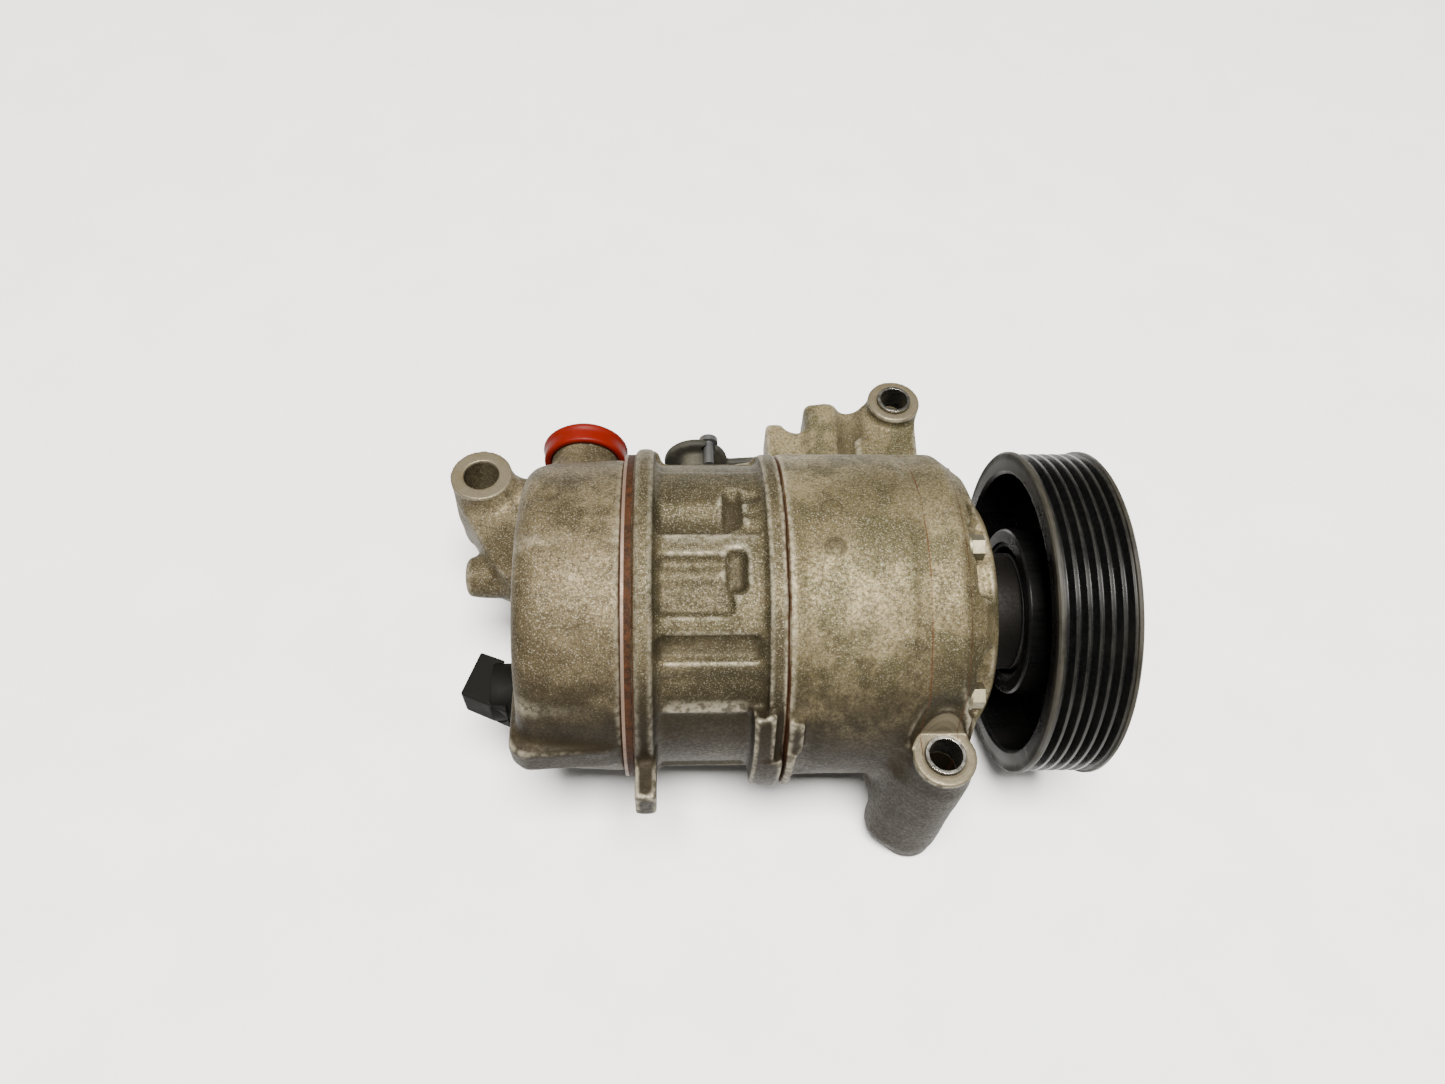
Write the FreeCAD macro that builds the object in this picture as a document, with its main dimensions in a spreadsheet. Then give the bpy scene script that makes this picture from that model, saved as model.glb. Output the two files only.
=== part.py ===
import FreeCAD, Part
import math
import os
import re

import Sketcher
from FreeCAD import Placement, Rotation, Vector

# Belt-driven air conditioning compressor with a tilting swash plate and six single-headed pistons.
# Frame: origin at the centre of the belt track on the shaft axis, +X along the shaft to the pulley,
# +Z along the mounting bores, +Y up. Angles round the shaft are measured from +Z towards +Y.

os.makedirs("parts", exist_ok=True)
doc = FreeCAD.newDocument("compressor")
sheet = doc.addObject("Spreadsheet::Sheet", "Sizes")

SIZES = {
    # casings along the shaft
    "seam_x": -92.5, "block_rear_x": -139, "head_front_x": -142, "head_rear_x": -175,
    "housing_radius": 54, "housing_shoulder_x": -40, "nose_x": -25, "nose_radius": 36,
    "chamber_radius": 47.5, "chamber_front_x": -42, "recess_front_x": -37, "recess_radius": 39,
    "block_radius": 51, "block_flange_x": -98.5, "plate_flange_x": -131.5, "plate_flange_radius": 55.9,
    "valve_disc_radius": 54, "head_radius": 52.2, "head_rear_radius": 50,
    # through bolts
    "bolt_circle": 45.5, "bolt_radius": 3, "bolt_hole": 3.3, "bolt_seat_x": -36.5, "bolt_end_x": -170,
    "bolt_head_flats": 7, "bolt_head_height": 4.2, "first_bolt_angle": -4.5,
    # cylinders and pistons
    "track_radius": 31, "bore_circle": 30.76, "bore_radius": 13, "piston_radius": 12.7,
    "first_cylinder_angle": -34.5, "piston_crown_x": -138.5, "skirt_length": 26,
    "jaw_inner": 7.2, "jaw_outer": 13.6, "jaw_low": 24.2, "jaw_high": 46.2, "jaw_gap_high": 41.4,
    "jaw_width": 16, "ring_offset": 4, "ring_height": 2, "ring_inner": 11.5, "ring_outer": 12.72,
    # swash plate, shoes and its guide
    "top_centre_x": -78.4, "swash_radius": 39.5, "swash_half": 4, "swash_hub": 21, "swash_hub_half": 7,
    "shoe_ball": 9.5, "shoe_radius": 7.6, "shoe_gap": 0.08, "socket_gap": 0.08,
    "sleeve_radius": 11.5, "sleeve_half": 11, "pivot_pin_radius": 3, "guide_pin_radius": 3,
    "guide_forward": 24, "guide_out": 22, "tongue_half": 5.6, "ear_inner": 6, "ear_outer": 11,
    "lug_front_x": -39.5, "lug_rear_x": -47, "lug_radius": 37, "rest_tilt": 5,
    # shaft and its bearings
    "shaft_radius": 8, "shaft_rear_x": -121, "spline_radius": 7, "spline_x": 2, "thread_radius": 5,
    "running_gap": 0.05, "shaft_front_x": 14,
    "front_cup_radius": 12, "rear_cup_radius": 11.5, "seal_bore": 13,
    # snout, pulley bearing and pulley
    "snout_radius": 17.5, "snout_root_radius": 20, "snout_end_x": 11.5, "pulley_bearing_rear_x": -12,
    "pulley_bearing_front_x": 8, "inner_ring_outer": 20, "outer_ring_inner": 22.5,
    "pulley_bearing_outer": 25, "ball_circle": 21.25, "ball_radius": 3.1, "ball_plane_x": -2,
    "belt_half": 12.85, "pulley_radius": 55, "groove_crest": 54.2, "groove_depth": 2.9,
    "groove_pitch": 3.56,
    "rim_inner": 47.5, "pulley_hub_radius": 28.5, "web_rear_x": 3, "web_front_x": 8, "hub_face_x": 12,
    "hub_front_x": 14.5, "hub_plate_radius": 41, "damper_circle": 37, "damper_radius": 6,
    # mounting ears
    "ear_one_x": -43.1, "ear_one_y": -56.8, "ear_two_x": -41.8, "ear_two_y": 87.4, "front_ear_radius": 9.9,
    "front_ear_face": 9.9, "front_ear_far": -60, "ear_hole": 5.2, "sleeve_bore": 6.25,
    "guide_sleeve_proud": 1.1, "guide_sleeve_length": 10, "ear_three_x": -195, "ear_three_y": 51.8,
    "rear_ear_radius": 11, "rear_ear_face": 10.1, "rear_ear_far": -24, "rear_ear_hole": 6.24,
    # ports and rear details
    "suction_x": -158, "suction_z": 11, "suction_neck": 12, "suction_top_y": 60, "suction_bore": 8,
    "cap_radius": 15.5, "discharge_x": -118, "discharge_z": 5, "pad_radius": 12,
    "pad_top_y": 60.5, "cover_height": 3, "discharge_bore": 6.5, "rear_boss_y": 20, "rear_boss_z": -8,
    "rear_boss_radius": 7, "rear_boss_end_x": -199, "valve_y": -24, "valve_z": -10, "valve_bore": 9.5,
    "valve_inner_x": -150, "valve_seat_x": -177,
}


def fill_sheet():
    """One row per size: its name in column A, its value in column B under the same alias."""
    for row, (alias, value) in enumerate(SIZES.items(), start=1):
        sheet.set(f"A{row}", alias)
        sheet.set(f"B{row}", str(value))
        sheet.setAlias(f"B{row}", alias)
    doc.recompute()


fill_sheet()
NODES = []


def size(alias):
    """A size as the sheet holds it, for shapes and placements that code sets."""
    return float(sheet.get(alias))


def formula(text):
    """An expression in which each word with an underscore is a cell of the sheet."""
    return re.sub(r"[a-z]+(_[a-z]+)+", lambda found: "Sizes." + found.group(0), str(text))


def bind(item, **values):
    for name, text in values.items():
        item.setExpression(name, formula(text))


def place(item, x=0, y=0, z=0, rotation=Rotation()):
    item.Placement = Placement(Vector(), rotation)
    for axis, text in (("x", x), ("y", y), ("z", z)):
        item.setExpression(f".Placement.Base.{axis}", formula(text))


ALONG = {
    "+X": Rotation(Vector(0, 1, 0), 90),
    "-X": Rotation(Vector(0, 1, 0), -90),
    "+Y": Rotation(Vector(1, 0, 0), -90),
    "-Y": Rotation(Vector(1, 0, 0), 90),
    "+Z": Rotation(),
    "-Z": Rotation(Vector(1, 0, 0), 180),
}


def add(kind, name):
    return doc.addObject(kind, name)


def cylinder(name, radius, length, x=0, y=0, z=0, along="+X"):
    item = add("Part::Cylinder", name)
    bind(item, Radius=radius, Height=length)
    place(item, x, y, z, ALONG[along])
    return item


def cone(name, radius_one, radius_two, length, x=0, y=0, z=0, along="+X"):
    item = add("Part::Cone", name)
    bind(item, Radius1=radius_one, Radius2=radius_two, Height=length)
    place(item, x, y, z, ALONG[along])
    return item


def torus(name, ring, wire, x=0, y=0, z=0, along="+X"):
    item = add("Part::Torus", name)
    bind(item, Radius1=ring, Radius2=wire)
    place(item, x, y, z, ALONG[along])
    return item


def sphere(name, radius, x=0, y=0, z=0):
    item = add("Part::Sphere", name)
    bind(item, Radius=radius)
    place(item, x, y, z)
    return item


def block(name, x, y, z, rotation=Rotation()):
    """A box between two limits on each axis."""
    item = add("Part::Box", name)
    bind(item, Length=f"({x[1]}) - ({x[0]})", Width=f"({y[1]}) - ({y[0]})", Height=f"({z[1]}) - ({z[0]})")
    place(item, x[0], y[0], z[0], rotation)
    return item


def hexagon(name, flats, length, x, y, z, along="+X"):
    item = add("Part::Prism", name)
    item.Polygon = 6
    bind(item, Circumradius=f"({flats}) / 2 / cos(30deg)", Height=length)
    place(item, x, y, z, ALONG[along])
    return item


def round_shaft(radius, angle):
    """The y and z formulas of a point at a radius and an angle round the shaft."""
    return f"({radius}) * sin({angle} * 1deg)", f"({radius}) * cos({angle} * 1deg)"


def radial_block(name, x, radius, width, angle):
    """A box that stands out from the shaft at an angle, between two radii."""
    item = add("Part::Box", name)
    bind(item, Length=f"({x[1]}) - ({x[0]})", Width=width, Height=f"({radius[1]}) - ({radius[0]})")
    half = f"(({width}) / 2)"
    y = f"({radius[0]}) * sin({angle} * 1deg) - {half} * cos({angle} * 1deg)"
    z = f"({radius[0]}) * cos({angle} * 1deg) + {half} * sin({angle} * 1deg)"
    place(item, x[0], y, z, Rotation(Vector(1, 0, 0), -angle))
    return item


def radial_pin(name, x, radius, reach, angle):
    """A round pin that stands out from the shaft at an angle, between two radii."""
    item = add("Part::Cylinder", name)
    bind(item, Radius=radius, Height=f"({reach[1]}) - ({reach[0]})")
    y, z = round_shaft(reach[0], angle)
    place(item, x, y, z, Rotation(Vector(1, 0, 0), -angle))
    return item


def sector(name, x, radius, low, high):
    """A length of ring round the shaft, between two radii and two angles."""
    start = math.radians(high)
    turn = Rotation(Vector(0, math.sin(start), math.cos(start)), Vector(), Vector(1, 0, 0), "ZXY")
    outer = add("Part::Cylinder", name + "_outer")
    bind(outer, Radius=radius[1], Height=f"({x[1]}) - ({x[0]})", Angle=high - low)
    place(outer, x[0], 0, 0, turn)
    inner = cylinder(name + "_inner", radius[0], f"({x[1]}) - ({x[0]}) + 2", f"({x[0]}) - 1")
    return cut(name, outer, [inner])


def fuse(name, items):
    if len(items) == 1:
        return items[0]
    item = add("Part::MultiFuse", name)
    item.Shapes = items
    return item


def cut(name, base, tools):
    item = add("Part::Cut", name)
    item.Base = base
    item.Tool = fuse(name + "_tools", tools)
    return item


def group(name, items):
    """Identical pieces that share one node, each a separate solid."""
    item = add("Part::Compound", name)
    item.Links = items
    return item


def outline(sketch, points):
    """A closed outline whose corners are each held by two dimensions bound to the sheet."""
    values = []
    for x, y in points:
        values.append((evaluate(x), evaluate(y)))
    count = len(points)
    for i in range(count):
        here = Vector(*values[i], 0)
        there = Vector(*values[(i + 1) % count], 0)
        sketch.addGeometry(Part.LineSegment(here, there), False)
    for i in range(count):
        sketch.addConstraint(Sketcher.Constraint("Coincident", i, 2, (i + 1) % count, 1))
    for i, (x, y) in enumerate(points):
        for kind, text, value in (("DistanceX", x, values[i][0]), ("DistanceY", y, values[i][1])):
            number = sketch.addConstraint(Sketcher.Constraint(kind, -1, 1, i, 1, value))
            sketch.setExpression(f"Constraints[{number}]", formula(text))


def evaluate(text):
    """The value of a size formula, for a sketch's first guess."""
    value = sheet.evalExpression(formula(text))
    return float(getattr(value, "Value", value))


def sketch_on(body, role, name, offset=0):
    sketch = body.newObject("Sketcher::SketchObject", name)
    plane = next(f for f in body.Origin.OriginFeatures if f.Role == role)
    sketch.AttachmentSupport = [(plane, "")]
    sketch.MapMode = "FlatFace"
    sketch.setExpression(".AttachmentOffset.Base.z", formula(offset))
    return sketch


def turned(name, points):
    """A body turned round the shaft axis from an outline of (x, radius) corners."""
    body = add("PartDesign::Body", name)
    sketch = sketch_on(body, "XY_Plane", name + "_profile")
    outline(sketch, points)
    turn = body.newObject("PartDesign::Revolution", name + "_turn")
    turn.Profile = sketch
    turn.ReferenceAxis = (sketch, ["H_Axis"])
    turn.Angle = 360
    body.Tip = turn
    return body


def prism(name, points, low, high, plane="XY_Plane"):
    """A body padded from an outline between two heights above one of the frame's planes."""
    body = add("PartDesign::Body", name)
    sketch = sketch_on(body, plane, name + "_outline", low)
    outline(sketch, points)
    pad = body.newObject("PartDesign::Pad", name + "_pad")
    pad.Profile = sketch
    bind(pad, Length=f"({high}) - ({low})")
    body.Tip = pad
    return body


def node(item, label):
    item.Label = label
    NODES.append(item)
    return item


def around(item_maker, count, first):
    """One item for each step round the shaft, made from its number and its angle."""
    return [item_maker(i, first + i * 360 / count) for i in range(count)]


def bolt_holes(name, x, radius="bolt_hole"):
    def hole(i, angle):
        y, z = round_shaft("bolt_circle", angle)
        return cylinder(f"{name}_{i}", radius, f"({x[1]}) - ({x[0]})", x[0], y, z)
    return around(hole, 6, SIZES["first_bolt_angle"])


def bore_at(name, x, radius, angle, circle="bore_circle"):
    y, z = round_shaft(circle, angle)
    return cylinder(name, radius, f"({x[1]}) - ({x[0]})", x[0], y, z)


# ---------------------------------------------------------------- casings

def front_housing():
    """The crankcase with its nose, the snout for the pulley bearing and the two front mounting ears."""
    shell = turned("front_shell", [
        ("seam_x", 30), ("seam_x", "housing_radius - 0.6"), ("seam_x + 0.6", "housing_radius"),
        ("housing_shoulder_x", "housing_radius"), ("housing_shoulder_x + 2", "housing_radius - 1.6"),
        ("housing_shoulder_x + 7.6", 48.8), ("housing_shoulder_x + 11.1", 41.9),
        ("nose_x - 0.4", "nose_radius + 1.1"), ("nose_x", "nose_radius"), ("nose_x", 23),
        ("nose_x + 1", "snout_root_radius + 1"), ("nose_x + 2.5", "snout_root_radius"),
        ("pulley_bearing_rear_x", "snout_root_radius"), ("pulley_bearing_rear_x", "snout_radius"),
        ("snout_end_x - 1", "snout_radius"), ("snout_end_x", "snout_radius - 1"), ("snout_end_x", 5),
        ("seam_x + 20", 5), ("seam_x + 20", 30),
    ])
    cavity = turned("front_cavity", [
        ("seam_x - 1", 0), ("seam_x - 1", "chamber_radius"), ("chamber_front_x", "chamber_radius"),
        ("chamber_front_x", "recess_radius"), ("recess_front_x", "recess_radius"),
        ("recess_front_x", "front_cup_radius"), ("recess_front_x + 18.5", "front_cup_radius"),
        ("recess_front_x + 18.5", 9.5), ("pulley_bearing_rear_x - 0.5", 9.5),
        ("pulley_bearing_rear_x - 0.5", "seal_bore"), ("snout_end_x + 1", "seal_bore"),
        ("snout_end_x + 1", 0),
    ])
    ear_length = "front_ear_face - front_ear_far"
    lower_ear = cylinder("lower_ear", "front_ear_radius", ear_length, "ear_one_x", "ear_one_y",
                         "front_ear_far", "+Z")
    lower_web = prism("lower_web", [
        ("ear_one_x - 21", "ear_one_y + 21"), ("ear_one_x - 14", "ear_one_y + 7"),
        ("ear_one_x - 9.3", "ear_one_y - 3"), ("ear_one_x + 9.3", "ear_one_y - 3"),
        ("ear_one_x + 10", "ear_one_y + 18"),
    ], -40, 5)
    upper_ear = cylinder("upper_ear", "front_ear_radius", ear_length, "ear_two_x", "ear_two_y",
                         "front_ear_far", "+Z")
    upper_web = prism("upper_web", [
        ("ear_two_x - 33.5", 40), ("ear_two_x - 33.2", 61), ("ear_two_x - 31.4", "ear_two_y - 3"),
        ("ear_two_x - 26", "ear_two_y + 1.6"), ("ear_two_x - 9", "ear_two_y + 2.6"),
        ("ear_two_x", "ear_two_y + 5"),
        ("ear_two_x + 9", "ear_two_y + 1"), ("ear_two_x + 7", 61), ("ear_two_x + 9", 40),
    ], -36, 5)
    seam_lug = prism("upper_seam_lug", [
        ("seam_x + 1.5", 44), ("seam_x + 1.5", 81), ("seam_x + 2.5", 82), ("seam_x + 7.6", 82),
        ("seam_x + 9.6", 79), ("seam_x + 14", 77), ("seam_x + 24", 77), ("seam_x + 24", 44),
    ], -12, 3)
    lower_lug = fuse("lower_seam_lugs", [
        sector("lower_seam_lug", ("seam_x + 0.5", "seam_x + 6"), ("housing_radius - 3", 56.6), -80, -66),
        sector("bottom_seam_lug", ("seam_x + 0.5", "seam_x + 3.6"), ("housing_radius - 3", 57.6), -112,
               -80),
    ])
    pin_marks = [
        radial_pin("pin_mark_high", "seam_x + 14.3", 3, ("housing_radius - 0.6", "housing_radius + 0.4"),
                   6),
        radial_pin("pin_mark_low", "seam_x + 14.3", 3, ("housing_radius - 0.6", "housing_radius + 0.4"),
                   -9),
    ]
    body = fuse("front_casting", [shell, lower_ear, lower_web, upper_ear, upper_web, seam_lug, lower_lug]
                + pin_marks)
    seats, hollows = [], []
    for i in range(6):
        angle = SIZES["first_bolt_angle"] + 60 * i
        y, z = round_shaft("bolt_circle", angle)
        seats.append(cylinder(f"bolt_seat_{i}", 7, 20, "bolt_seat_x", y, z))
        seats.append(radial_block(f"bolt_seat_mouth_{i}", ("bolt_seat_x", "bolt_seat_x + 20"),
                                  ("bolt_circle", 60), 12, angle))
        for low, high in ((-20, -6), (-56, -43)):
            hollows.append(sector(f"nose_hollow_{i}", ("nose_x - 9.4", "nose_x - 3.2"), (39, 56),
                                  angle + low, angle + high))
    ears = [
        cylinder("lower_ear_hole", "ear_hole", f"{ear_length} + 2", "ear_one_x", "ear_one_y",
                 "front_ear_far - 1", "+Z"),
        cylinder("upper_ear_hole", "ear_hole", f"{ear_length} + 2", "ear_two_x", "ear_two_y",
                 "front_ear_far - 1", "+Z"),
        cylinder("lower_sleeve_seat", "sleeve_bore", 20, "ear_one_x", "ear_one_y",
                 "front_ear_face + guide_sleeve_proud - guide_sleeve_length", "+Z"),
        cylinder("upper_sleeve_seat", "sleeve_bore", 20, "ear_two_x", "ear_two_y",
                 "front_ear_face + guide_sleeve_proud - guide_sleeve_length", "+Z"),
    ]
    ring_groove = turned("snout_ring_groove", [
        ("pulley_bearing_front_x + 0.1", 16.6), ("pulley_bearing_front_x + 1.5", 16.6),
        ("pulley_bearing_front_x + 1.5", 18), ("pulley_bearing_front_x + 0.1", 18),
    ])
    seal_groove = turned("seal_ring_groove", [
        ("spline_x - 5.7", 12), ("spline_x - 4.3", 12), ("spline_x - 4.3", 14), ("spline_x - 5.7", 14),
    ])
    tools = [cavity, ring_groove, seal_groove] + seats + hollows + ears
    tools += bolt_holes("front_bolt_hole", ("seam_x - 1", "bolt_seat_x + 1"))
    return node(cut("front_housing_cut", body, tools), "front_housing")


def cylinder_block():
    """The block with six cylinders, its outside pockets, the seam flanges and the discharge pad."""
    outer = turned("block_shell", [
        ("block_rear_x", 0), ("block_rear_x", "valve_disc_radius"),
        ("block_rear_x + 1", "valve_disc_radius"),
        ("block_rear_x + 1", "plate_flange_radius"), ("plate_flange_x", "plate_flange_radius"),
        ("plate_flange_x + 1.5", "block_radius"), ("block_flange_x - 1.5", "block_radius"),
        ("block_flange_x", "housing_radius"), ("seam_x - 0.6", "housing_radius"),
        ("seam_x", "housing_radius - 0.6"), ("seam_x", 0),
    ])
    pad = prism("discharge_pad", [
        ("discharge_x - 12", -5), ("discharge_x - 8.5", -13.5), ("discharge_x", -17),
        ("discharge_x + 8", -14),
        ("discharge_x + 25", -3), ("discharge_x + 24", 8), ("discharge_x + 8", 4),
        ("discharge_x - 8.5", 3.5),
    ], "-(pad_top_y)", -44, "XZ_Plane")
    lug = prism("lower_rear_lug", [
        ("block_rear_x + 1", -50), ("plate_flange_x", -50), ("plate_flange_x", -66.5),
        ("plate_flange_x - 1.2", -68), ("block_rear_x + 2", -68), ("block_rear_x + 1", -66.5),
    ], -7, 7)
    crest = sector("upper_rear_crest", ("block_rear_x + 1", "plate_flange_x"), (50, 58.3), 76, 96)
    seam_lug = fuse("lower_block_lugs", [
        sector("lower_block_lug", ("block_flange_x - 5", "seam_x - 3.4"), (48, 57), -112, -63),
        sector("bottom_block_lug", ("seam_x - 6", "seam_x - 0.5"), (51.6, 57.6), -112, -84),
    ])
    ribs = [sector("bolt_rib", ("plate_flange_x", "block_flange_x"), (49, 52), -6.2, 0.2)]
    body = fuse("block_casting", [outer, pad, lug, crest, seam_lug] + ribs)
    pockets = [
        sector("pocket_high", ("plate_flange_x + 1", -107), (47.6, 53), 2, 21),
        sector("pocket_blob", (-105.2, -99.4), (48.2, 53), 3, 20),
        sector("pocket_low", ("plate_flange_x + 1", -107), (47.8, 53), -30, -8.5),
        sector("pocket_groove", ("plate_flange_x + 1", -99.5), (48.8, 53), -44, -36),
        sector("pocket_back_one", ("plate_flange_x + 1", -101), (47.6, 53), 118, 168),
        sector("pocket_back_two", ("plate_flange_x + 1", -101), (47.6, 53), 184, 228),
    ]
    bores = around(lambda i, angle: bore_at(f"cylinder_bore_{i}", ("block_rear_x - 1", "seam_x + 1"),
                                            "bore_radius", angle), 6, SIZES["first_cylinder_angle"])
    middle = turned("block_middle_bore", [
        ("block_rear_x - 1", 0), ("block_rear_x - 1", 9.5), (-119, 9.5), (-119, "rear_cup_radius"),
        (-97, "rear_cup_radius"), (-97, 13), ("seam_x + 1", 13), ("seam_x + 1", 0),
    ])
    seal_groove = turned("seam_seal_groove", [
        ("seam_x - 1.5", 50), ("seam_x + 1", 50), ("seam_x + 1", 52), ("seam_x - 1.5", 52),
    ])
    port = cylinder("discharge_port", "discharge_bore", 14, "discharge_x", "pad_top_y - 12", "discharge_z",
                    "+Y")
    screw = cylinder("cover_screw_hole", 1.9, 9, "discharge_x + 4.5", "pad_top_y - 8", 13, "+Y")
    tools = [middle, seal_groove, port, screw] + bores + pockets
    tools += bolt_holes("block_bolt_hole", ("block_rear_x - 1", "seam_x + 1"))
    return node(cut("cylinder_block_cut", body, tools), "cylinder_block")


def rear_housing():
    """The head with its suction and discharge chambers, suction neck, valve boss and rear ear."""
    outer = turned("head_shell", [
        ("head_front_x", 0), ("head_front_x", "head_radius"), ("head_rear_x + 7", "head_rear_radius + 0.8"),
        ("head_rear_x + 3", "head_rear_radius - 0.4"), ("head_rear_x + 0.6", "head_rear_radius - 3"),
        ("head_rear_x", "head_rear_radius - 6"), ("head_rear_x", 0),
    ])
    neck = cylinder("suction_neck_wall", "suction_neck", "suction_top_y - 36", "suction_x", 36, "suction_z",
                    "+Y")
    neck_foot = cone("suction_neck_foot", "suction_neck + 3.4", "suction_neck", 9, "suction_x", 44,
                     "suction_z", "+Y")
    ear = cylinder("rear_ear", "rear_ear_radius", "rear_ear_face - rear_ear_far", "ear_three_x",
                   "ear_three_y",
                   "rear_ear_far", "+Z")
    web = prism("rear_ear_web", [
        ("ear_three_x - 10", "ear_three_y - 5"), ("ear_three_x + 2", "ear_three_y + 10.5"),
        ("head_rear_x + 12", 44), ("head_rear_x + 12", 8), ("head_rear_x - 11", 14),
    ], -16, 3)
    boss = cylinder("rear_boss", "rear_boss_radius", "head_rear_x + 5 - rear_boss_end_x", "rear_boss_end_x",
                    "rear_boss_y", "rear_boss_z")
    valve_boss = cylinder("valve_boss", "valve_bore + 4", "valve_inner_x - valve_seat_x + 5",
                          "valve_seat_x", "valve_y", "valve_z")
    lower_bulge = prism("lower_bulge", [
        ("head_front_x - 4", -30), ("head_front_x - 4", -53), ("head_rear_x + 2", -54.5),
        ("head_rear_x - 2.5", -51), ("head_rear_x - 2.5", -30),
    ], -5, 8)
    body = fuse("head_casting", [outer, neck, neck_foot, ear, web, boss, lower_bulge])
    discharge = turned("discharge_chamber", [
        ("head_front_x + 1", 0), ("head_front_x + 1", 30), ("head_front_x - 16", 28),
        ("head_front_x - 16", 0),
    ])
    suction = turned("suction_chamber", [
        ("head_front_x + 1", 33), ("head_front_x + 1", 41.5), ("head_front_x - 22", 41.5),
        ("head_front_x - 22", 34),
    ])
    chambers = cut("head_chambers", fuse("head_hollow", [discharge, suction]), [valve_boss])
    tools = [
        chambers,
        cylinder("suction_port_bore", "suction_bore", "suction_top_y - 36", "suction_x", 37, "suction_z",
                 "+Y"),
        cylinder("rear_ear_bore", "rear_ear_hole", 60, "ear_three_x", "ear_three_y", -40, "+Z"),
        cylinder("control_valve_bore", "valve_bore", 40, "valve_inner_x - 35", "valve_y", "valve_z"),
        cylinder("valve_flange_seat", "valve_bore + 1.6", 6, "valve_seat_x - 6", "valve_y", "valve_z"),
    ] + bolt_holes("head_bolt_hole", ("bolt_end_x - 2", "head_front_x + 1"), "bolt_radius + 0.02")
    return node(cut("rear_housing_cut", body, tools), "rear_housing")


# ---------------------------------------------------------------- valve plate pack

def port_holes(name, circle, radius, x):
    return around(lambda i, angle: bore_at(f"{name}_{i}", x, radius, angle, circle), 6,
                  SIZES["first_cylinder_angle"])


def valve_disc(label, x, holes):
    disc = cylinder(label + "_disc", "valve_disc_radius", f"({x[1]}) - ({x[0]})", x[0])
    holes += bolt_holes(label + "_bolt", (f"{x[0]} - 1", f"{x[1]} + 1"))
    return node(cut(label + "_cut", disc, holes), label)


def reed_slots(name, x, radius, width):
    """The two long cuts that free each reed's tongue."""
    slots = []
    for i in range(6):
        angle = SIZES["first_cylinder_angle"] + 60 * i
        left = radial_block(f"{name}_{i}_frame", x, radius, width, angle)
        tongue = radial_block(f"{name}_{i}_tongue", x, (f"{radius[0]} - 1", f"{radius[1]} - 0.8"),
                              width - 1.6, angle)
        slots.append(cut(f"{name}_{i}", left, [tongue]))
    return slots


def valve_pack():
    """The suction reeds, the plate with its ports, the discharge reeds and the gasket behind them."""
    reach = ("block_rear_x - 5", "block_rear_x + 2")
    valve_disc("suction_reed_plate", ("block_rear_x - 0.4", "block_rear_x"),
               port_holes("reed_discharge_port", 24, 4, reach) + reed_slots("suction_reed", reach,
                                                                            (27, 41), 10))
    valve_disc("valve_plate", ("block_rear_x - 2", "block_rear_x - 0.4"),
               port_holes("plate_discharge_port", 24, 3, reach) + port_holes("plate_suction_port", 37, 3.6,
                                                                             reach))
    reeds = [radial_block(f"discharge_reed_{i}", ("block_rear_x - 2.4", "block_rear_x - 2"), (5, 28), 8,
                          SIZES["first_cylinder_angle"] + 60 * i) for i in range(6)]
    hub = cylinder("discharge_reed_hub", 12, 0.4, "block_rear_x - 2.4")
    node(fuse("discharge_reed_star", [hub] + reeds), "discharge_reeds")
    windows = [cylinder("gasket_discharge_window", 30, 4, "block_rear_x - 4")]
    windows += port_holes("gasket_suction_window", 37, 4.4, reach)
    valve_disc("head_gasket", ("head_front_x", "block_rear_x - 2"), windows)


# ---------------------------------------------------------------- fasteners, seals, caps

def housing_bolts():
    """Six long hexagon-headed screws that hold the casings together."""
    def bolt(i, angle):
        y, z = round_shaft("bolt_circle", angle)
        head = hexagon(f"bolt_{i}_head", "bolt_head_flats", "bolt_head_height", "bolt_seat_x + 1", y, z)
        washer = cylinder(f"bolt_{i}_washer", 4.6, 1, "bolt_seat_x", y, z)
        shank = cylinder(f"bolt_{i}_shank", "bolt_radius", "bolt_seat_x + 1 - bolt_end_x", "bolt_end_x", y,
                         z)
        return fuse(f"bolt_{i}", [head, washer, shank])
    return node(group("bolt_group", around(bolt, 6, SIZES["first_bolt_angle"])), "housing_bolts")


def guide_sleeves():
    """Split steel sleeves that centre the mounting bolts in the two front ears."""
    sleeves = []
    for name, x, y in (("lower", "ear_one_x", "ear_one_y"), ("upper", "ear_two_x", "ear_two_y")):
        start = "front_ear_face + guide_sleeve_proud - guide_sleeve_length"
        outer = cylinder(f"{name}_sleeve_outer", "sleeve_bore - 0.01", "guide_sleeve_length", x, y, start,
                         "+Z")
        inner = cylinder(f"{name}_sleeve_inner", "ear_hole", "guide_sleeve_length + 2", x, y,
                         f"{start} - 1", "+Z")
        sleeves.append(cut(f"{name}_sleeve", outer, [inner]))
    return node(group("sleeve_group", sleeves), "guide_sleeves")


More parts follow.
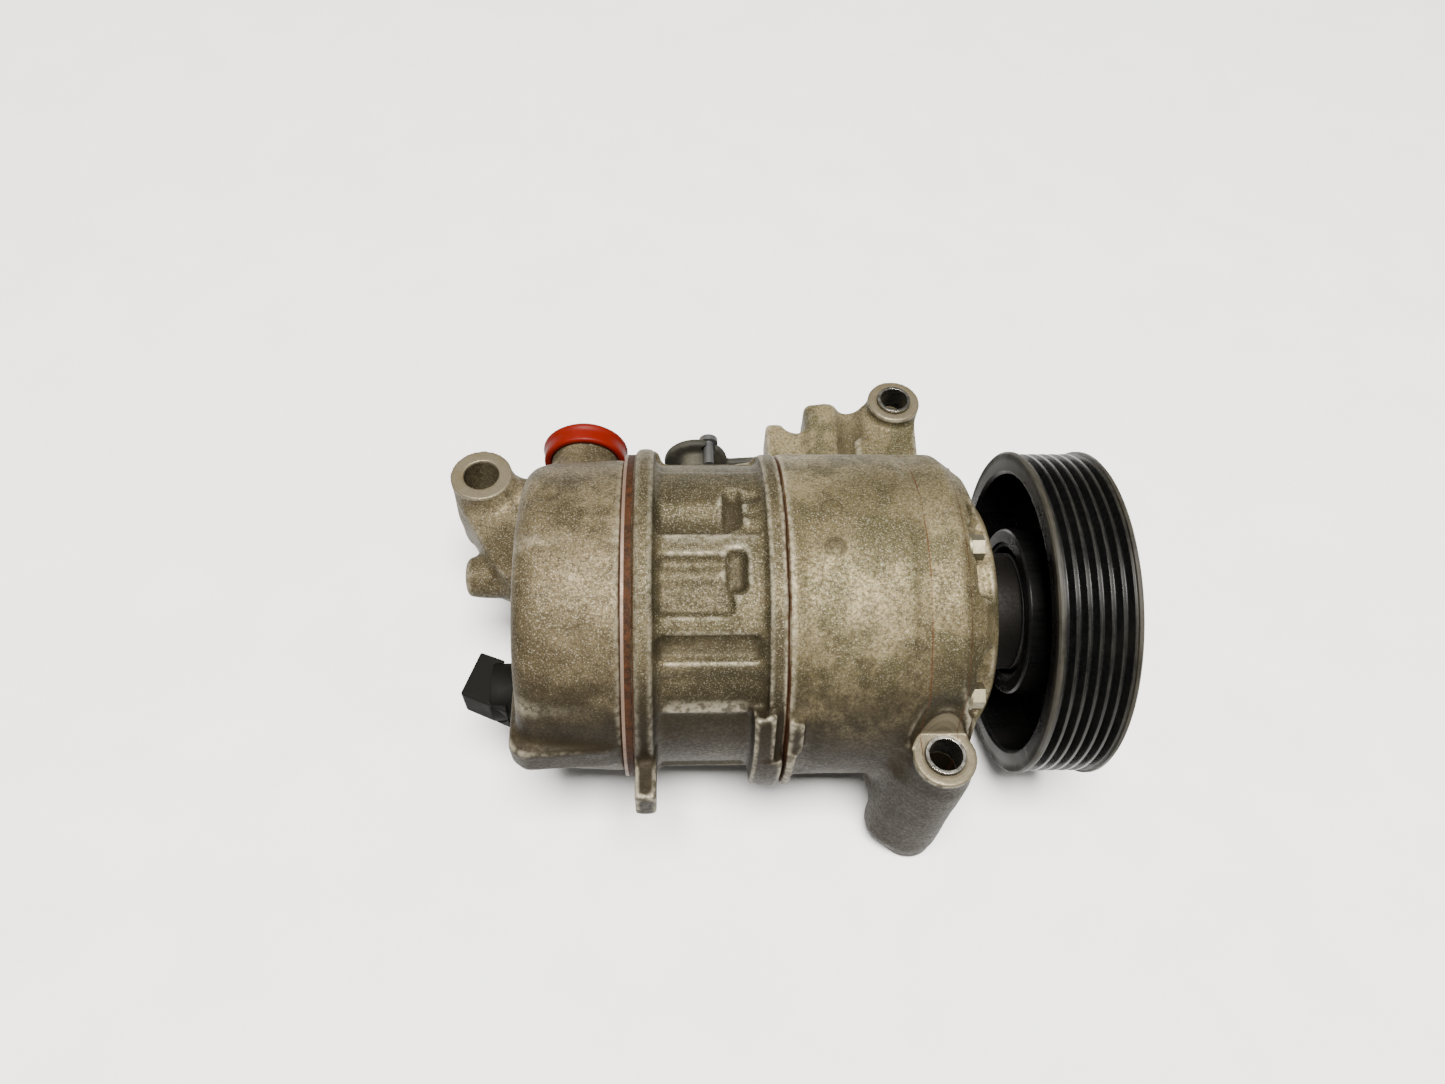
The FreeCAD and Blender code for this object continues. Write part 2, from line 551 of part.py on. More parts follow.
def seals_and_rings():
    """The seam's O-ring, the shaft seal and the two spring rings in the snout."""
    node(torus("seam_ring", 51, 0.75, "seam_x - 0.75"), "seam_o_ring")
    node(turned("lip_seal", [
        ("pulley_bearing_rear_x - 0.4", 9.6), ("pulley_bearing_rear_x - 0.4", "seal_bore - 0.05"),
        ("spline_x - 5.8", "seal_bore - 0.05"), ("spline_x - 5.8", 11), ("spline_x - 7", 11),
        ("spline_x - 9", "shaft_radius + 0.05"), ("spline_x - 10.5", "shaft_radius + 0.05"),
        ("spline_x - 9.5", 9.6),
    ]), "shaft_seal")
    snout = turned("snout_ring", [
        ("pulley_bearing_front_x + 0.15", 16.7), ("pulley_bearing_front_x + 0.15", 19.4),
        ("pulley_bearing_front_x + 1.4", 19.4), ("pulley_bearing_front_x + 1.4", 16.7),
    ])
    snout_gap = block("snout_ring_gap", ("pulley_bearing_front_x - 1", "pulley_bearing_front_x + 3"),
                      (0, 30), (-3, 3))
    inner = turned("seal_ring", [
        ("spline_x - 5.65", 10.4), ("spline_x - 5.65", 13.9), ("spline_x - 4.4", 13.9),
        ("spline_x - 4.4", 10.4),
    ])
    inner_gap = block("seal_ring_gap", ("spline_x - 8", "spline_x"), (0, 30), (-2.5, 2.5))
    rings = [cut("snout_ring_split", snout, [snout_gap]), cut("seal_ring_split", inner, [inner_gap])]
    node(group("spring_rings", rings), "retaining_rings")


def port_covers():
    """The transport cap on the suction neck and the screwed cover on the discharge pad."""
    skirt = cylinder("cap_skirt", "suction_neck + 2.6", 7, "suction_x", "suction_top_y - 4.6", "suction_z",
                     "+Y")
    flange = cone("cap_flange", "cap_radius - 1.2", "cap_radius", 2.4, "suction_x", "suction_top_y - 0.6",
                  "suction_z", "+Y")
    top = cone("cap_top", "cap_radius", "cap_radius - 3.4", 3.2, "suction_x", "suction_top_y + 1.8",
               "suction_z", "+Y")
    well = cylinder("cap_well", "cap_radius - 6.4", 9, "suction_x", "suction_top_y + 2.2", "suction_z",
                    "+Y")
    hollow = cylinder("cap_hollow", "suction_neck + 0.02", 7, "suction_x", "suction_top_y - 7", "suction_z",
                      "+Y")
    node(cut("suction_cap_cut", fuse("suction_cap_blank", [skirt, flange, top]), [well, hollow]),
         "suction_port_cap")
    head = cylinder("cover_head", "pad_radius - 0.4", "cover_height", "discharge_x", "pad_top_y",
                    "discharge_z", "+Y")
    tail = prism("cover_tail", [
        ("discharge_x - 3", -16.4), ("discharge_x + 8", -13.2), ("discharge_x + 24", -1.5),
        ("discharge_x + 22.5", 6.5), ("discharge_x + 6", 5), ("discharge_x - 3", 5),
    ], "-(pad_top_y + cover_height)", "-(pad_top_y)", "XZ_Plane")
    plug = cylinder("cover_plug", "discharge_bore - 0.2", 5, "discharge_x", "pad_top_y - 4.8",
                    "discharge_z", "+Y")
    hole = cylinder("cover_hole", 2.2, 12, "discharge_x + 4.5", "pad_top_y - 6", 13, "+Y")
    node(cut("cover_cut", fuse("cover_blank", [head, tail, plug]), [hole]), "discharge_port_cover")
    screw_head = cylinder("screw_head", 3.4, 2, "discharge_x + 4.5", "pad_top_y + cover_height", 13, "+Y")
    screw_shank = cylinder("screw_shank", 1.88, 10, "discharge_x + 4.5", "pad_top_y - 6.5", 13, "+Y")
    slot = block("screw_slot", ("discharge_x", "discharge_x + 9"),
                 ("pad_top_y + cover_height + 1.2", "pad_top_y + cover_height + 3"), (12.6, 13.4))
    node(cut("cover_screw_cut", fuse("cover_screw_blank", [screw_head, screw_shank]), [slot]),
         "cover_screw")


# ---------------------------------------------------------------- pulley, hub and front bearings

def pulley_bearing():
    """A ball bearing whose inner ring stays on the snout while its outer ring turns with the pulley."""
    groove = torus("inner_race", "ball_circle", "ball_radius + running_gap", "ball_plane_x")
    inner = turned("inner_ring_blank", [
        ("pulley_bearing_rear_x", "snout_radius + 0.01"), ("pulley_bearing_rear_x", "inner_ring_outer"),
        ("pulley_bearing_front_x", "inner_ring_outer"), ("pulley_bearing_front_x", "snout_radius + 0.01"),
    ])
    node(cut("inner_ring_cut", inner, [groove]), "bearing_inner_ring")
    race = torus("outer_race", "ball_circle", "ball_radius + running_gap", "ball_plane_x")
    outer = turned("outer_ring_blank", [
        ("pulley_bearing_rear_x", "outer_ring_inner"),
        ("pulley_bearing_rear_x", "pulley_bearing_outer - 0.01"),
        ("pulley_bearing_front_x", "pulley_bearing_outer - 0.01"),
        ("pulley_bearing_front_x", "outer_ring_inner"),
    ])
    node(cut("outer_ring_cut", outer, [race]), "bearing_outer_ring")

    def ball(i, angle):
        y, z = round_shaft("ball_circle", angle)
        return sphere(f"ball_{i}", "ball_radius", "ball_plane_x", y, z)

    def pocket(i, angle):
        return radial_pin(f"ball_pocket_{i}", "ball_plane_x", "ball_radius + 0.12", (18, 25), angle)

    node(group("ball_group", around(ball, 15, 0)), "bearing_balls")
    cage = turned("cage_blank", [
        ("ball_plane_x - 4.4", "inner_ring_outer + 0.5"), ("ball_plane_x - 4.4", "outer_ring_inner - 0.5"),
        ("ball_plane_x + 4.4", "outer_ring_inner - 0.5"), ("ball_plane_x + 4.4", "inner_ring_outer + 0.5"),
    ])
    node(cut("cage_cut", cage, around(pocket, 15, 0)), "bearing_cage")


def pulley():
    """The six-rib belt pulley, open at the back, with its web and bearing hub."""
    outline_points = [("-(belt_half)", "rim_inner + 1"), ("-(belt_half)", "pulley_radius - 0.6"),
                      ("-(belt_half) + 0.6", "pulley_radius"), ("-(belt_half) + 1.6", "pulley_radius"),
                      ("groove_pitch * -3 - 0.4", "groove_crest")]
    for i in range(6):
        centre = f"groove_pitch * {i - 2.5}"
        outline_points += [
            (f"{centre} - 1.35", "groove_crest"), (f"{centre} - 0.35", "groove_crest - groove_depth"),
            (f"{centre} + 0.35", "groove_crest - groove_depth"), (f"{centre} + 1.35", "groove_crest"),
        ]
    outline_points += [
        ("groove_pitch * 3 + 0.4", "groove_crest"), ("belt_half - 1.6", "pulley_radius"),
        ("belt_half - 0.6", "pulley_radius"), ("belt_half", "pulley_radius - 0.6"),
        ("belt_half", "rim_inner + 1"),
        ("belt_half - 1", "rim_inner"), ("web_front_x", "rim_inner"),
        ("web_front_x", "pulley_bearing_outer"),
        ("pulley_bearing_rear_x", "pulley_bearing_outer"),
        ("pulley_bearing_rear_x", "pulley_bearing_outer - 1"),
        ("pulley_bearing_rear_x - 0.8", "pulley_bearing_outer - 1"),
        ("pulley_bearing_rear_x - 0.8", "pulley_hub_radius - 0.6"),
        ("pulley_bearing_rear_x", "pulley_hub_radius"),
        ("web_rear_x", "pulley_hub_radius"), ("web_rear_x", "rim_inner"), ("-(belt_half) + 1", "rim_inner"),
    ]
    return node(turned("belt_pulley", outline_points), "pulley")


def hub_and_dampers():
    """The dished drive hub on the shaft, the rubber dampers behind it and the shaft nut."""
    dish = turned("hub_dish", [
        ("spline_x + 3", "spline_radius + 0.02"), ("spline_x + 3", "seal_bore - 0.8"),
        ("hub_face_x", "seal_bore - 0.8"), ("hub_face_x", "hub_plate_radius"),
        ("hub_front_x - 0.6", "hub_plate_radius"), ("hub_front_x", "hub_plate_radius - 0.6"),
        ("hub_front_x", "seal_bore - 2.4"), ("spline_x + 6.5", "seal_bore - 2.4"),
        ("spline_x + 6.5", "spline_radius + 0.02"),
    ])
    windows = []
    for i in range(3):
        windows.append(sector(f"hub_window_{i}", ("hub_face_x - 1", "hub_front_x + 1"), (24, 33), 120 * i,
                              120 * i + 44))
        windows.append(sector(f"hub_edge_{i}", ("hub_face_x - 1", "hub_front_x + 1"), (38.5, 43),
                              120 * i + 2, 120 * i + 42))
    node(cut("hub_cut", dish, windows), "hub_plate")

    def damper(i, angle):
        y, z = round_shaft("damper_circle - 4.5", angle)
        return cylinder(f"damper_{i}", "damper_radius", "hub_face_x - web_front_x", "web_front_x", y, z)
    node(group("damper_group", around(damper, 6, 52)), "rubber_dampers")
    nut = hexagon("nut_body", 13, 4.8, "spline_x + 6.5", 0, 0)
    bore = cylinder("nut_bore", "thread_radius + 0.01", 8, "spline_x + 5")
    node(cut("nut_cut", nut, [bore]), "hub_nut")


def shaft_and_lug():
    """The drive shaft and the lug plate whose ears drag the swash plate round."""
    node(turned("shaft_blank", [
        ("shaft_rear_x", 0), ("shaft_rear_x", "shaft_radius - 0.8"), ("shaft_rear_x + 0.8", "shaft_radius"),
        ("spline_x", "shaft_radius"), ("spline_x + 1", "spline_radius"),
        ("spline_x + 6.5", "spline_radius"),
        ("spline_x + 6.5", "thread_radius"), ("shaft_front_x - 0.6", "thread_radius"),
        ("shaft_front_x", "thread_radius - 0.6"), ("shaft_front_x", 0),
    ]), "drive_shaft")
    disc = turned("lug_disc", [
        ("lug_rear_x - 4", "shaft_radius + 0.01"), ("lug_rear_x - 4", 13), ("lug_rear_x", 14),
        ("lug_rear_x", "lug_radius - 1"), ("lug_rear_x + 1", "lug_radius"),
        ("lug_front_x - 1", "lug_radius"),
        ("lug_front_x", "lug_radius - 1"), ("lug_front_x", "shaft_radius + 0.01"),
    ])
    pin_rest_x = "top_centre_x + guide_forward"
    ears = []
    for name, low, high in (("near", "ear_inner", "ear_outer"), ("far", "-(ear_outer)", "-(ear_inner)")):
        ears.append(prism(f"{name}_ear", [
            ("lug_rear_x + 1", 15.5), (f"{pin_rest_x} - 4", 15.5), (f"{pin_rest_x} - 6.3", 18),
            (f"{pin_rest_x} - 6.3", 29), (f"{pin_rest_x} - 3", 32), ("lug_rear_x + 1", 33),
        ], low, high))
    slot_radius = "guide_pin_radius + 0.35"
    low_end = cylinder("slot_low", slot_radius, 30, pin_rest_x, "guide_out - 0.1", -15, "+Z")
    high_end = cylinder("slot_high", slot_radius, 30, f"{pin_rest_x} + 1.2", "guide_out + 3.9", -15, "+Z")
    middle = prism("slot_middle", [
        (f"{pin_rest_x} - 3.2", "guide_out + 0.9"), (f"{pin_rest_x} + 3.2", "guide_out - 1.1"),
        (f"{pin_rest_x} + 4.4", "guide_out + 2.9"), (f"{pin_rest_x} - 2", "guide_out + 4.9"),
    ], -15, 15)
    node(cut("lug_cut", fuse("lug_blank", [disc] + ears), [low_end, high_end, middle]), "lug_plate")


def shaft_bearings():
    """The needle cups at each end of the crankcase and the thrust bearing behind the nose."""
    node(turned("front_cup", [
        ("recess_front_x + 0.2", "shaft_radius + running_gap"),
        ("recess_front_x + 0.2", "front_cup_radius - 0.01"),
        ("recess_front_x + 17", "front_cup_radius - 0.01"),
        ("recess_front_x + 17", "shaft_radius + running_gap"),
    ]), "front_shaft_bearing")
    node(turned("rear_cup", [
        (-117.5, "shaft_radius + running_gap"), (-117.5, "rear_cup_radius - 0.01"),
        (-98, "rear_cup_radius - 0.01"), (-98, "shaft_radius + running_gap"),
    ]), "rear_shaft_bearing")
    node(turned("thrust_ring", [
        ("recess_front_x - 0.01", 13), ("recess_front_x - 0.01", 26),
        ("lug_front_x + running_gap", 26), ("lug_front_x + running_gap", 13),
    ]), "thrust_bearing")


# ---------------------------------------------------------------- swash plate, shoes and pistons

def rest_centre_x():
    """The swash plate's centre at rest: the top piston stays put while the plate tilts."""
    return size("top_centre_x") + size("track_radius") * math.sin(math.radians(size("rest_tilt")))


def set_tilted(item):
    """Put a piece drawn about the plate's centre where the plate is at rest, tilted with it."""
    item.Placement = Placement(Vector(rest_centre_x(), 0, 0), Rotation(Vector(0, 0, 1), size("rest_tilt")))
    return item


def swash_plate():
    """The tilting plate, drawn upright about its centre, with the tongue that carries the guide pin."""
    plate = cylinder("plate_disc", "swash_radius", "2 * swash_half", "-(swash_half)")
    hub = cylinder("plate_hub", "swash_hub", "2 * swash_hub_half", "-(swash_hub_half)")
    tongue = prism("plate_tongue", [
        (0, 13.6), (0, 18.5), ("guide_forward - 9", 19.5), ("guide_forward - 5", "guide_out + 2.5"),
        ("guide_forward - 2.5", "guide_out + 5"), ("guide_forward + 2", "guide_out + 5"),
        ("guide_forward + 4.4", "guide_out + 2"), ("guide_forward + 4.4", "guide_out - 2.4"),
        ("guide_forward - 2", "guide_out - 6.5"), ("swash_hub_half + 3", 13.6),
    ], "-(tongue_half)", "tongue_half")
    body = fuse("plate_blank", [plate, hub, tongue])
    high = cylinder("plate_hole_high", "sleeve_radius + 0.4", 40, -20, 1.4)
    low = cylinder("plate_hole_low", "sleeve_radius + 0.4", 40, -20, -1.4)
    pivot = cylinder("plate_pivot_bore", "pivot_pin_radius + 0.01", 50, 0, 0, -25, "+Z")
    guide = cylinder("plate_guide_bore", "guide_pin_radius + 0.01", 30, "guide_forward", "guide_out", -15,
                     "+Z")
    node(set_tilted(cut("plate_cut", body, [high, low, pivot, guide])), "swash_plate")
    pins = [
        cylinder("pivot_near", "pivot_pin_radius", 11, 0, 0, 9.2, "+Z"),
        cylinder("pivot_far", "pivot_pin_radius", 11, 0, 0, -20.2, "+Z"),
        cylinder("guide_pin", "guide_pin_radius", "2 * ear_outer - 0.6", "guide_forward", "guide_out",
                 "0.3 - ear_outer", "+Z"),
    ]
    node(set_tilted(group("swash_pin_group", pins)), "swash_pins")


def slide_sleeve():
    """The sleeve that slides along the shaft and carries the swash plate on its two pivot pins."""
    tube = cylinder("sleeve_tube", "sleeve_radius", "2 * sleeve_half", "-(sleeve_half)")
    bore = cylinder("sleeve_inside", "shaft_radius + running_gap", 40, -20)
    pins = cylinder("sleeve_pin_bore", "pivot_pin_radius + running_gap", 40, 0, 0, -20, "+Z")
    sleeve = cut("sleeve_cut", tube, [bore, pins])
    sleeve.Placement = Placement(Vector(rest_centre_x(), 0, 0), Rotation())
    node(sleeve, "slide_sleeve")


def helix_spring(label, start, stop, mean, wire, turns):
    """A round-wire spring round the shaft between two stations."""
    coil = Part.makeHelix((stop - start - wire) / turns, stop - start - wire, mean)
    section = Part.Wire(Part.makeCircle(wire / 2, Vector(mean, 0, 0), Vector(0, 1, 0)))
    item = add("Part::Feature", label + "_coil")
    item.Shape = Part.Wire(coil).makePipeShell([section], True, True)
    item.Placement = Placement(Vector(start + wire / 2, 0, 0), ALONG["+X"])
    return node(item, label)


def destroke_spring():
    """The spring between the lug plate and the sleeve that stands the plate up."""
    start = rest_centre_x() + size("sleeve_half") + 0.2
    helix_spring("destroke_spring", start, size("lug_rear_x") - 4.3, 10.2, 1.8, 3)


def cylinder_station(i):
    """The angle of a cylinder and the x, y and z of its shoes' common ball centre at rest."""
    angle = size("first_cylinder_angle") + 60 * i
    tilt = math.radians(size("rest_tilt"))
    out = size("track_radius") * math.sin(math.radians(angle))
    side = size("track_radius") * math.cos(math.radians(angle))
    return angle, Vector(rest_centre_x() - out * math.sin(tilt), out * math.cos(tilt), side)


def shoe(label, side, centre):
    """Half of the ball that the plate's rim slides through, drawn along +X or -X about the ball centre."""
    ball = sphere(label + "_ball", "shoe_ball")
    keep = cylinder(label + "_keep", "shoe_radius", "shoe_ball", "swash_half + shoe_gap", 0, 0)
    if side < 0:
        keep = cylinder(label + "_keep_rear", "shoe_radius", "shoe_ball", "-(swash_half + shoe_gap)", 0, 0,
                        "-X")
    item = add("Part::Common", label + "_common")
    item.Base = ball
    item.Tool = keep
    item.Placement = Placement(centre, Rotation(Vector(0, 0, 1), size("rest_tilt")))
    return node(item, label)


def piston(i, angle, centre):
    """A piston drawn about its shoes' ball centre: skirt in the bore, neck, and jaw round the plate's rim."""
    name = f"piston_{i}"
    crown = "piston_crown_x - top_centre_x"
    skirt_end = f"{crown} + skirt_length"
    groove_low = f"{crown} + ring_offset - ring_height / 2 - 0.1"
    groove_high = f"{crown} + ring_offset + ring_height / 2 + 0.1"
    skirt = turned(name + "_skirt", [
        (crown, 0), (crown, "piston_radius - 0.6"), (f"{crown} + 0.6", "piston_radius"),
        (groove_low, "piston_radius"), (groove_low, "ring_inner - 0.3"), (groove_high, "ring_inner - 0.3"),
        (groove_high, "piston_radius"), (f"{skirt_end} - 1", "piston_radius"),
        (skirt_end, "piston_radius - 1"), (skirt_end, 0),
    ])
    across = ("-(jaw_width) / 2", "jaw_width / 2")
    reach = ("jaw_low - track_radius", "jaw_high - track_radius")
    walls = [
        block(name + "_rear_jaw", ("-(jaw_outer)", "-(jaw_inner)"), across, reach),
        block(name + "_front_jaw", ("jaw_inner", "jaw_outer"), across, reach),
        block(name + "_bridge", ("-(jaw_outer)", "jaw_outer"), across,
              ("jaw_gap_high - track_radius", reach[1])),
        block(name + "_neck", (f"{skirt_end} - 1", "1 - jaw_outer"), (-5, 5), (-6, 10)),
    ]
    socket = sphere(name + "_socket", "shoe_ball + socket_gap")
    item = cut(name + "_cut", fuse(name + "_blank", [skirt] + walls), [socket])
    item.Placement = Placement(centre, Rotation(Vector(1, 0, 0), -angle))
    return node(item, name)


def piston_ring(i, centre):
    name = f"piston_ring_{i}"
    middle = "piston_crown_x - top_centre_x + ring_offset"
    ring = turned(name + "_blank", [
        (f"{middle} - ring_height / 2", "ring_inner"), (f"{middle} - ring_height / 2", "ring_outer"),
        (f"{middle} + ring_height / 2", "ring_outer"), (f"{middle} + ring_height / 2", "ring_inner"),
    ])
    ring.Placement = Placement(centre, Rotation())
    return node(ring, name)


def piston_sets():
    for i in range(6):
        angle, centre = cylinder_station(i)
        shoe(f"front_shoe_{i + 1}", 1, centre)
        shoe(f"rear_shoe_{i + 1}", -1, centre)
        piston_ring(i + 1, centre)
        piston(i + 1, angle, centre)


# ---------------------------------------------------------------- control valve

def control_valve():
    """The solenoid valve in the head, its plunger, its plug socket and the two contact pins."""
    body = turned("valve_body_blank", [
        ("valve_inner_x - 1", 3), ("valve_inner_x - 1", "valve_bore - 0.6"),
        ("valve_inner_x - 5", "valve_bore - 0.6"),
        ("valve_inner_x - 5", "valve_bore - 0.02"), ("valve_inner_x - 9", "valve_bore - 0.02"),
        ("valve_inner_x - 9", "valve_bore - 1.5"), ("valve_inner_x - 13", "valve_bore - 1.5"),
        ("valve_inner_x - 13", "valve_bore - 0.02"), ("valve_seat_x + 2", "valve_bore - 0.02"),
        ("valve_seat_x + 2", 3),
    ])
    body.Placement = Placement(Vector(0, size("valve_y"), size("valve_z")), Rotation())
    can = cylinder("valve_can", "valve_bore - 0.02", 11, "valve_seat_x - 9", "valve_y", "valve_z")
    flange = cylinder("valve_flange", "valve_bore + 1.4", 2, "valve_seat_x - 2.02", "valve_y", "valve_z")
    hole = cylinder("valve_plunger_bore", "2 + running_gap", 30, "valve_seat_x - 4", "valve_y", "valve_z")
    node(cut("valve_cut", fuse("valve_blank", [body, can, flange]), [hole]), "control_valve")
    node(cylinder("plunger_rod", 2, 24, "valve_seat_x - 2.5", "valve_y", "valve_z"), "valve_plunger")
    shell = prism("socket_shell", [
        ("valve_seat_x - 3.4", "valve_y - 10.5"), ("valve_seat_x - 5.6", "valve_y + 8.5"),
        ("valve_seat_x - 14", "valve_y + 11.8"), ("valve_seat_x - 19.2", "valve_y - 3.4"),
    ], "valve_z - 6.5", "valve_z + 6.5")
    mouth = prism("socket_mouth", [
        ("valve_seat_x - 10.8", "valve_y - 4"), ("valve_seat_x - 7.6", "valve_y + 6"),
        ("valve_seat_x - 17", "valve_y + 11.2"), ("valve_seat_x - 21", "valve_y - 0.8"),
    ], "valve_z - 4.8", "valve_z + 4.8")
    clear = cylinder("socket_can_hole", "valve_bore", 9, "valve_seat_x - 9", "valve_y", "valve_z")
    pins = []
    for name, side in (("left", -2.6), ("right", 2.6)):
        turn = Rotation(Vector(0, 0, 1), 155)
        pin = add("Part::Box", f"{name}_pin")
        bind(pin, Length=5.8, Width=1.6, Height=0.8)
        place(pin, "valve_seat_x - 9.05", f"valve_y + 1.8 + {side}", "valve_z - 0.4", turn)
        pins.append(pin)
    node(cut("socket_cut", shell, [mouth, clear] + pins), "valve_connector")
    node(group("pin_group", pins), "connector_pins")


# ---------------------------------------------------------------- build, check and write

def build():
    front_housing()
    cylinder_block()
    rear_housing()
    valve_pack()
    housing_bolts()
    guide_sleeves()
    seals_and_rings()
    port_covers()
    pulley_bearing()
    pulley()
    hub_and_dampers()
    shaft_and_lug()
    shaft_bearings()
    swash_plate()
    slide_sleeve()
    destroke_spring()
    piston_sets()
    control_valve()
    doc.recompute()


def check_document():
    for item in doc.Objects:
        if "Invalid" in item.State or "Error" in item.State:
            raise RuntimeError(f"{item.Name} failed to build: {item.State}")
    for item in NODES:
        if item.Shape.isNull() or not item.Shape.isValid() or item.Shape.Volume <= 0:
            raise RuntimeError(f"{item.Label} has no valid shape")


build()
check_document()
for item in NODES:
    item.Shape.exportStep(f"parts/{item.Label}.step")
print(f"{len(NODES)} sub-parts written")
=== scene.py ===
import math

import bpy
import numpy as np
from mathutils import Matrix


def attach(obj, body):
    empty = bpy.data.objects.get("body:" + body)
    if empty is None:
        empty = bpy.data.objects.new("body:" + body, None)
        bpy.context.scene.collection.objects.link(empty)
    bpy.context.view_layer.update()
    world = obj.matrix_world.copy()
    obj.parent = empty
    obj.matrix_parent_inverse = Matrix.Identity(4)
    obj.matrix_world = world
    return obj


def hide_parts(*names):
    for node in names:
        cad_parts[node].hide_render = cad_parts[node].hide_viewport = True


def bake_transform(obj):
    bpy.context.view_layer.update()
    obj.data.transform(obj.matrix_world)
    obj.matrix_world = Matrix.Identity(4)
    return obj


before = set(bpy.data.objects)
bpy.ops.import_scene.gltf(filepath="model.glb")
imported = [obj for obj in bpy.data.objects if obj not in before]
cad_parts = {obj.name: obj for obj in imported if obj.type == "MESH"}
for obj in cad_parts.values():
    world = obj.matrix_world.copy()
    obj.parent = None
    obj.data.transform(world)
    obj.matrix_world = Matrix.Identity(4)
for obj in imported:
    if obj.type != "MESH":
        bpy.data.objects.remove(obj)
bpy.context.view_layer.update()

import openvdb as vdb
from mathutils import Matrix, Vector

# Looks of the belt-driven air conditioning compressor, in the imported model's frame: +X along the
# shaft to the pulley, +Z along the mounting bores, +Y up. Shapes are worked out in millimetres
# and angles round the shaft are measured from +Z towards +Y, in degrees.

MM = 0.001
VOXEL = 0.62


# ---------------------------------------------------------------- smooth shapes from distances
def smooth_step(value, at, soft):
    """0 below at, 1 above it, with a rounded change soft wide."""
    t = np.clip((value - at) / soft + 0.5, 0, 1)
    return t * t * (3 - 2 * t)


def between(value, low, high, soft):
    """1 between low and high, 0 elsewhere, with rounded changes."""
    return smooth_step(value, low, soft) * (1 - smooth_step(value, high, soft))


def joined(a, b, blend):
    """Union of two distance fields with a fillet about as large as blend."""
    h = np.clip(0.5 + 0.5 * (b - a) / blend, 0, 1)
    return b + (a - b) * h - blend * h * (1 - h)


def carved(a, tool, blend):
    """Distance field a with the tool's field taken away, its edges rounded by blend."""
    return -joined(-a, tool, blend)


